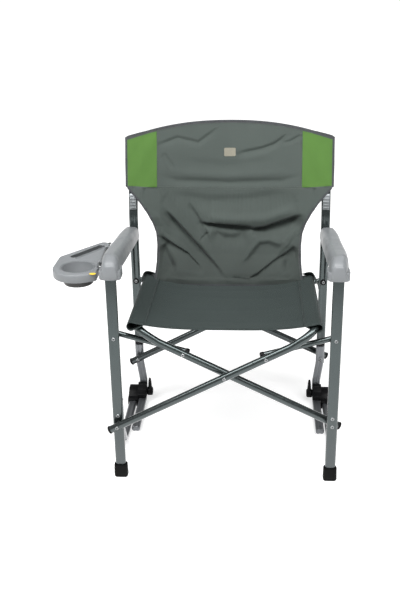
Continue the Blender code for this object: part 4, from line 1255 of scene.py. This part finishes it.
def back_points(x, z):
    """The front surface: flat on the uprights, hollow between them, forward at the bottom."""
    return back_plane(z) + hollow(x, z) + read_off(BELLY, z)


def back_folds(x, z):
    """How far the folds push the cloth back, nothing at its held edges."""
    flat = np.stack([x, z], axis=1)
    hold = smoothstep(0.0, 0.018, half_width(z) - np.abs(x))
    hold = hold * smoothstep(0.0, 0.012, top_edge(x) - z)
    hold = hold * smoothstep(0.0, 0.014, np.abs(z - BACK_LOW))
    fold = np.zeros(len(x))
    for depth, width, sharp, line in FOLDS:
        fold += FOLD_SCALE * depth * crease(flat, line, width, sharp)
    return fold * hold


def spaced(low, high, step):
    count = max(2, round((high - low) / step))
    return [low + (high - low) * k / count for k in range(count)]


def back_panel():
    patch = PATCH_FROM / PANEL_EDGE
    xs = [-1.0, -0.965] + spaced(-0.935, -patch, 0.014) + spaced(-patch, patch, 0.0125)
    xs += [-u for u in xs[:xs.index(-patch) + 1]][::-1]
    rows, kinds = [], []
    for t in [0.0, 0.028] + spaced(0.05, 1.0, 0.0135):
        edge = PANEL_EDGE
        for _ in range(6):      # the edge's distance and the row's height depend on each other
            z = BACK_LOW + (seam_height(edge) - BACK_LOW) * t
            edge = min(float(half_width(z)), PANEL_EDGE)
        rows.append([(u * edge, BACK_LOW + (seam_height(u * edge) - BACK_LOW) * t) for u in xs])
        kinds.append("low_bound" if half_width(z) < PANEL_EDGE else "low")
    for t in [0.0] + spaced(0.03, 1.0, 0.0185) + [1.0]:
        row = []
        for u in xs:
            x = u * PANEL_EDGE
            seam, bound = seam_height(x), top_edge(x) - BINDING_H
            row.append((x, seam + (bound - seam) * t))
        rows.append(row)
        kinds.append("high")
    for lift in (BINDING_H / 2, BINDING_H):
        rows.append([(u * PANEL_EDGE, top_edge(u * PANEL_EDGE) - BINDING_H + lift) for u in xs])
        kinds.append("bind")

    flat = np.array([p for row in rows for p in row])
    y = back_points(flat[:, 0], flat[:, 1])
    points = [Vector((x, float(d), z)) for (x, z), d in zip(flat, y)]
    width = len(xs)
    grid = [points[i * width:(i + 1) * width] for i in range(len(rows))]
    last = len(rows) - 1

    def look_of(r, c):
        outer = c == 0 or c == width - 2
        if r >= last - 2 or r == 0 or (kinds[r] == "low_bound" and outer):
            return 1
        middle = abs(xs[c] + xs[c + 1]) / 2 * PANEL_EDGE
        return 2 if kinds[r] == "high" and middle > PATCH_FROM else 0

    bm = grid_mesh(grid, look_of)
    area = cloth_area(bm)
    panel = piece("back_panel", bm, (BACK_CLOTH, BINDING, GREEN_CLOTH), "left_side",
                  ("back_fabric",))
    return panel, area


FIN = (0.2942, 0.3004)
SLEEVE_FRONT_STEPS, SLEEVE_REAR_STEPS = 16, 10
FIN_COLUMNS, PATCH_COLUMNS = range(16, 21), 32
SLEEVE_BACK_X, SLEEVE_TURN_X, SLEEVE_INNER_X = 0.2966, 0.2880, 0.2500
SLEEVE_SAMPLE_Z = 0.7       # any height: the distances across don't depend on it


def sleeve_section(z, start=SLEEVE_FROM):
    """Across the sleeve at a height: (distance from the middle, depth behind the front).

    The front layer ends in a bound fin; the rear layer turns in round the upright from it.
    """
    depth = 0.0195 - 0.0130 * min(1.0, max(0.0, z - UPRIGHT_TOP - 0.002) / 0.014)
    path = []
    for k in range(SLEEVE_FRONT_STEPS + 1):
        x = start + (FIN[0] - start) * k / SLEEVE_FRONT_STEPS
        path.append((x, 0.0004 * (k / SLEEVE_FRONT_STEPS) ** 3 + float(hollow(x, z))))
    path += [(FIN[0] + 0.0030, 0.0008), (FIN[1] - 0.0006, 0.0012), (FIN[1], 0.0020),
             (FIN[1] - 0.0006, 0.0028), (FIN[0] + 0.0036, 0.0034)]
    path += [(SLEEVE_BACK_X, 0.0052), (SLEEVE_BACK_X, 0.30 * depth + 0.004),
             (0.2962, 0.75 * depth + 0.001), (0.2945, depth - 0.0016), (0.2915, depth - 0.0002),
             (SLEEVE_TURN_X, depth)]
    inner = SLEEVE_INNER_X
    path += [(SLEEVE_TURN_X + (inner - SLEEVE_TURN_X) * k / SLEEVE_REAR_STEPS, depth)
             for k in range(1, SLEEVE_REAR_STEPS + 1)]
    path += [(inner - 0.0030, depth - 0.002), (inner - 0.0055, depth * 0.5), (inner - 0.0070, 0.0040)]
    return path


def sleeve(side, sign, body):
    lower = [(x, z) for z, x in BACK_SIDES if x >= SLEEVE_FROM - 0.02][:-1]

    def low_edge(x):
        return min(float(read_off(lower, min(x, SLEEVE_OUT - 0.001))), seam_height(x) - 0.004)

    shares = [("hem", 0.0), ("hem", 0.5)] + [("low", t) for t in (0.0, 0.2, 0.4, 0.6, 0.8, 0.96)]
    shares += [("high", t) for t in spaced(0.0, 1.0, 0.022)] + [("bind", t) for t in (0.0, 0.5, 1.0)]
    rows = []
    for kind, t in shares:
        row = []
        start = PATCH_FROM + 0.0004 if kind in ("high", "bind") else SLEEVE_FROM
        for k, (x, _) in enumerate(sleeve_section(SLEEVE_SAMPLE_Z, start)):
            seam, low, bound = seam_height(x), low_edge(x), top_edge(x) - BINDING_H
            hem = min(0.0085, (seam - low) * 0.5)
            z = {"hem": low + hem * t, "low": low + hem + (seam - low - hem) * t,
                 "high": seam + (bound - seam) * t, "bind": bound + BINDING_H * t}[kind]
            across, depth = sleeve_section(z, start)[k]
            puff = 0.0008 * math.sin(z * 60 + k * 0.5)
            row.append(Vector((sign * across, float(back_plane(z)) - 0.0010 + depth + puff, z)))
        rows.append(row)

    def look_of(r, c):
        kind = shares[r][0]
        if kind in ("bind", "hem") or c in FIN_COLUMNS:
            return 1
        return 2 if kind == "high" and c < PATCH_COLUMNS else 0

    bm = grid_mesh(rows, look_of)
    area = cloth_area(bm)
    obj = piece(f"back_sleeve_{side}", bm, (BACK_CLOTH, BINDING, GREEN_CLOTH), body)
    return obj, area


def back_stitching(tree):
    """Thread along the cross seam, the top binding, the patches and the side edges."""
    xs = [0.240 * (-1 + 2 * k / 60) for k in range(61)]
    lines = [[(x, BEFORE_BACK, edge(x) + offset) for x in xs] for edge, offset in (
        (seam_height, 0.0022), (seam_height, -0.0024), (top_edge, -0.0075))]
    for sign in (-1, 1):
        lines.append([(sign * (PATCH_FROM - 0.0016), BEFORE_BACK, 0.675 + 0.145 * k / 30)
                      for k in range(31)])
        lines.append([(sign * (float(half_width(z)) - 0.0062), 0.36, z)
                      for z in (0.415 + 0.175 * k / 40 for k in range(41))])
    threads = []
    for line in lines:
        threads += stitches(tree, [Vector(point) for point in line], REARWARD)
    seam = piece("back_stitching", joined(*threads), THREAD, "left_side")
    follow_back(seam)
    return seam


def back_label(tree):
    """A plain rectangle of tape with round corners, without any lettering."""
    left, right, low, high = LABEL_BOX
    hits = [tree.ray_cast(Vector((x, BEFORE_BACK, LABEL_Z)) + ORIGIN, REARWARD)[0] - ORIGIN
            for x in (left + 0.002, right - 0.002)]
    face = (hits[0].y + hits[1].y) / 2 - 0.0006
    outline = rounded_outline([(left, low), (right, low), (right, high), (left, high)], 0.0035)
    label = loft([[Vector((x, face + (z - LABEL_Z) * LEAN - lift, z)) for x, z in outline]
                  for lift in (-0.0012, 0.0002, 0.0005)])
    tag = piece("back_label", label, LABEL, "left_side")
    follow_back(tag)
    return tag


def follow_back(obj):
    """Give a piece of the back its own copy of its mesh data."""
    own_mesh(obj)


def back():
    panel, panel_area = back_panel()
    flat = coordinates(panel) - np.array(ORIGIN)
    x, z = np.abs(flat[:, 0]), flat[:, 2]
    free = smoothstep(0.004, 0.030, np.minimum(half_width(z), 0.222) - x)
    free *= smoothstep(0.004, 0.030, z - BACK_LOW) * smoothstep(0.010, 0.040, top_edge(x) - z)
    free *= smoothstep(0.003, 0.014, np.abs(z - seam_height(x)))
    free *= 1 - 0.65 * smoothstep(0.655, 0.675, z)
    settle(panel, 1 - free, 0.010)
    moved = coordinates(panel)
    moved[:, 1] += back_folds(flat[:, 0], flat[:, 2])
    panel.data.vertices.foreach_set("co", moved.ravel())
    thicken(panel)
    follow_back(panel)
    tree = surface(panel)
    seam = back_stitching(tree)
    tag = back_label(tree)
    for side, sign, body in SIDES:
        obj, area = sleeve(side, sign, body)
        thicken(obj)


# ---------------------------------------------------------------- seat
SEAT_SAG = 0.0235
SEAT_FRONT, SEAT_REAR = -0.0220, 0.3560
WRAP_R = TUBE_R + 0.0011
WRAP_FROM, WRAP_TURN, WRAP_STEPS = -62, 208, 14      # degrees round the rail, from below
SEAM_X = 0.2000
SAG_POWER = 3.2
ABOVE_SEAT = 0.47
SEAT_ROWS = 108
# soft pulls across the seat: place along it, slant, depth
PULLS = ((0.16, 0.10, 0.0016), (0.42, -0.14, 0.0013), (0.70, 0.16, 0.0018), (0.86, -0.08, 0.0020))
# the rear hem turned down: distance back, drop
REAR_HEM = ((0.0030, 0.0006), (0.0058, 0.0022), (0.0078, 0.0050), (0.0086, 0.0085))


def seat_section(sag):
    """Across the seat: (x, height) from the left sleeve's hem, round both rails."""
    top = SEAT_RAIL_H + WRAP_R
    path = [(-SEAM_X, top - 0.0062), (-0.2120, top - 0.0120)]
    for k in range(WRAP_STEPS + 1):
        angle = math.radians(WRAP_FROM - WRAP_TURN * k / WRAP_STEPS)
        path.append((-SEAT_RAIL_X + WRAP_R * math.cos(angle), SEAT_RAIL_H + WRAP_R * math.sin(angle)))
    for x in spaced(-SEAT_RAIL_X + 0.003, 0.0, 0.0036):
        path.append((x, top - sag * (1 - abs(x / SEAT_RAIL_X) ** SAG_POWER)))
    return path + [(0.0, top - sag)] + [(-x, h) for x, h in path[::-1]]


def front_bow(x):
    """How far back the front hem is, beside its place at the rails."""
    return 0.006 * (1 - (x / 0.25) ** 2)


def seat_shape(x, along, height):
    """Small hollows and pulls in the stretched seat."""
    span = (along - SEAT_FRONT) / (SEAT_REAR - SEAT_FRONT)
    inside = max(0.0, 1 - (x / 0.225) ** 2)
    pull = 0.0
    for place, slant, depth in PULLS:
        pull += depth * math.exp(-((span - place + slant * x) / 0.035) ** 2)
    return height - pull * 0.35 * inside - 0.003 * inside * math.sin(math.pi * span)


def seat():
    rows = []
    for k in range(SEAT_ROWS + 1):
        t = k / SEAT_ROWS
        along = SEAT_FRONT + (SEAT_REAR - SEAT_FRONT) * t
        sag = SEAT_SAG * (0.85 + 0.15 * math.sin(math.pi * min(1.0, t * 1.25) * 0.5)) + 0.004 * t ** 3
        row = []
        for x, h in seat_section(sag):
            bow = front_bow(x) * (1 - t) ** 3
            bow += 0.020 * min(1.0, abs(x) / SEAT_RAIL_X) ** 4 * t ** 4
            row.append(on_axes(x, along + bow, seat_shape(x, along, h)))
        rows.append(row)
    rear = rows[-1]
    for back_by, drop in REAR_HEM:
        rows.append([p + Vector((0, back_by, -drop)) for p in rear])
    bm = grid_mesh(rows)
    area = cloth_area(bm)
    obj = piece("seat_sling", bm, (SEAT_CLOTH, BINDING), None, ("seat_fabric",))
    thicken(obj)
    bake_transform(obj)

    length = SEAT_REAR - SEAT_FRONT - 0.012
    lines = [[(sign * (SEAM_X + offset), SEAT_FRONT + 0.006 + length * k / 80) for k in range(81)]
             for sign in (-1, 1) for offset in (0.0, 0.0065)]
    xs = [0.225 * (-1 + 2 * k / 60) for k in range(61)]
    lines += [[(x, SEAT_FRONT + inset + front_bow(x)) for x in xs] for inset in (0.0045, 0.0110)]
    tree, threads = surface(obj), []
    for line in lines:
        threads += stitches(tree, [on_axes(x, along, ABOVE_SEAT) for x, along in line], -UPWARD)
    sewn = piece("seat_stitching", joined(*threads), SEAT_THREAD, None)
    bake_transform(sewn)


# a corner's inner edge beside the seat and its outer edge at the upright
TAB_INNER = ((0.2125, 0.3880, 0.4380), (0.2320, 0.3800, 0.4470), (0.2445, 0.3720, 0.4450),
             (0.2485, 0.3300, 0.4380))
TAB_OUTER = tuple((0.2660, 0.4475, z) for z in (0.3880, 0.3820, 0.3750, 0.3660))
TAB_STEPS, TAB_BULGE = 18, 0.0025


def corner_tabs():
    """Loose lower corners of the back, drawn out to the rivets on the uprights."""
    for side, sign, body in SIDES:
        rows = []
        for (x0, y0, z0), (x1, y1, z1) in zip(smooth_rows(TAB_INNER, 6), smooth_rows(TAB_OUTER, 6)):
            row = []
            for k in range(TAB_STEPS + 1):
                t = k / TAB_STEPS
                bulge = TAB_BULGE * math.sin(math.pi * t)
                row.append(Vector((sign * (x0 + (x1 - x0) * t + 0.5 * bulge), y0 + (y1 - y0) * t,
                                   z0 + (z1 - z0) * t + bulge)))
            rows.append(row)
        bm = grid_mesh(rows)
        area = cloth_area(bm)
        obj = piece(f"corner_tab_{side}", bm, SEAT_CLOTH, body)
        thicken(obj)


# ---------------------------------------------------------------- stage, light and camera
CAMERA_PLACE = Vector((0.072, -2.052, 1.380))
CAMERA_DOWN, CAMERA_TURN, CAMERA_ROLL = (math.radians(a) for a in (22.77, 3.66, 0.95))
CAMERA_LENS, CAMERA_SENSOR = 54.0, 36.0
AMBIENT = 0.32
SKY_POWER, SKY_WIDTH = 1.35, math.radians(50)
SKY_FROM = (-0.25, -0.40, 1.0)
FLOOR_HALF, FLOOR_GREYS, FLOOR_GLOW = 60.0, (0.66, 0.68), 0.92


def camera():
    data = bpy.data.cameras.new("camera")
    data.lens = CAMERA_LENS
    data.sensor_width = CAMERA_SENSOR
    data.sensor_fit = "AUTO"
    obj = linked("camera", data)
    backward = Vector((math.sin(CAMERA_TURN), -math.cos(CAMERA_TURN), 0)) * math.cos(CAMERA_DOWN)
    backward.z = math.sin(CAMERA_DOWN)
    obj.rotation_euler = backward.to_track_quat("Z", "Y").to_euler()
    obj.rotation_euler.rotate_axis("Z", -CAMERA_ROLL)
    obj.location = CAMERA_PLACE + ORIGIN
    bpy.context.scene.camera = obj


def softbox(name, place, target, size, power):
    data = bpy.data.lights.new(name, "AREA")
    data.shape = "RECTANGLE"
    data.size, data.size_y = size
    data.energy = power
    obj = linked(name, data)
    obj.location = Vector(place) + ORIGIN
    direction = Vector(target) + ORIGIN - obj.location
    obj.rotation_euler = direction.to_track_quat("-Z", "Y").to_euler()


def studio():
    bm = bmesh.new()
    bmesh.ops.create_grid(bm, x_segments=8, y_segments=8, size=FLOOR_HALF)
    mesh = mesh_of("studio_floor", bm)
    look = Look("floor_paper", roughness=0.9)
    tone = look.blend(*((grey, grey, grey) for grey in FLOOR_GREYS), look.noise(3, 2))
    look.colour(tone)
    look.feed(look.shader.inputs["Emission Color"], tone)
    look.shader.inputs["Emission Strength"].default_value = FLOOR_GLOW
    mesh.materials.append(look.material)
    floor = linked("studio_floor", mesh)
    floor.location = (0, 0, -0.0002)
    surroundings()
    sky = bpy.data.lights.new("broad_sky", "SUN")
    sky.energy, sky.angle = SKY_POWER, SKY_WIDTH
    sun = linked("broad_sky", sky)
    sun.rotation_euler = Vector(SKY_FROM).to_track_quat("Z", "Y").to_euler()
    softbox("overhead_softbox", (-0.1, -0.75, 2.4), (0, 0.1, 0.35), (5.2, 0.85), 128)
    softbox("front_softbox", (0.3, -2.4, 2.0), (0, 0.1, 0.4), (2.2, 0.22), 4)
    bpy.context.scene.view_settings.view_transform = "Standard"


def surroundings():
    """An even dim light from all round, seen by the camera as a white background."""
    world = bpy.data.worlds.new("studio")
    bpy.context.scene.world = world
    world.use_nodes = True
    nodes, links = world.node_tree.nodes, world.node_tree.links
    ambient, seen = nodes["Background"], nodes.new("ShaderNodeBackground")
    for background, strength in ((ambient, AMBIENT), (seen, 1.0)):
        background.inputs["Color"].default_value = (1.0, 1.0, 1.0, 1.0)
        background.inputs["Strength"].default_value = strength
    mix = nodes.new("ShaderNodeMixShader")
    links.new(nodes.new("ShaderNodeLightPath").outputs["Is Camera Ray"], mix.inputs["Fac"])
    links.new(ambient.outputs[0], mix.inputs[1])
    links.new(seen.outputs[0], mix.inputs[2])
    links.new(mix.outputs[0], nodes["World Output"].inputs["Surface"])


def main():
    for side, sign, body in SIDES:
        leg_foot(side, sign, body)
        upright(side, sign, body)
        rear_leg(side, sign, body)
        ground_rail(side, sign, body)
        heel(side, sign, body)
        armrest(side, sign, body)
        for end in ENDS:
            link(end, side, sign)
    scissor_tube("a", 1)
    scissor_tube("b", -1)
    fastenings()
    tray_plate()
    cup_sleeve()
    tray_badge()
    tray_pin()
    back()
    seat()
    corner_tabs()
    camera()
    studio()


main()
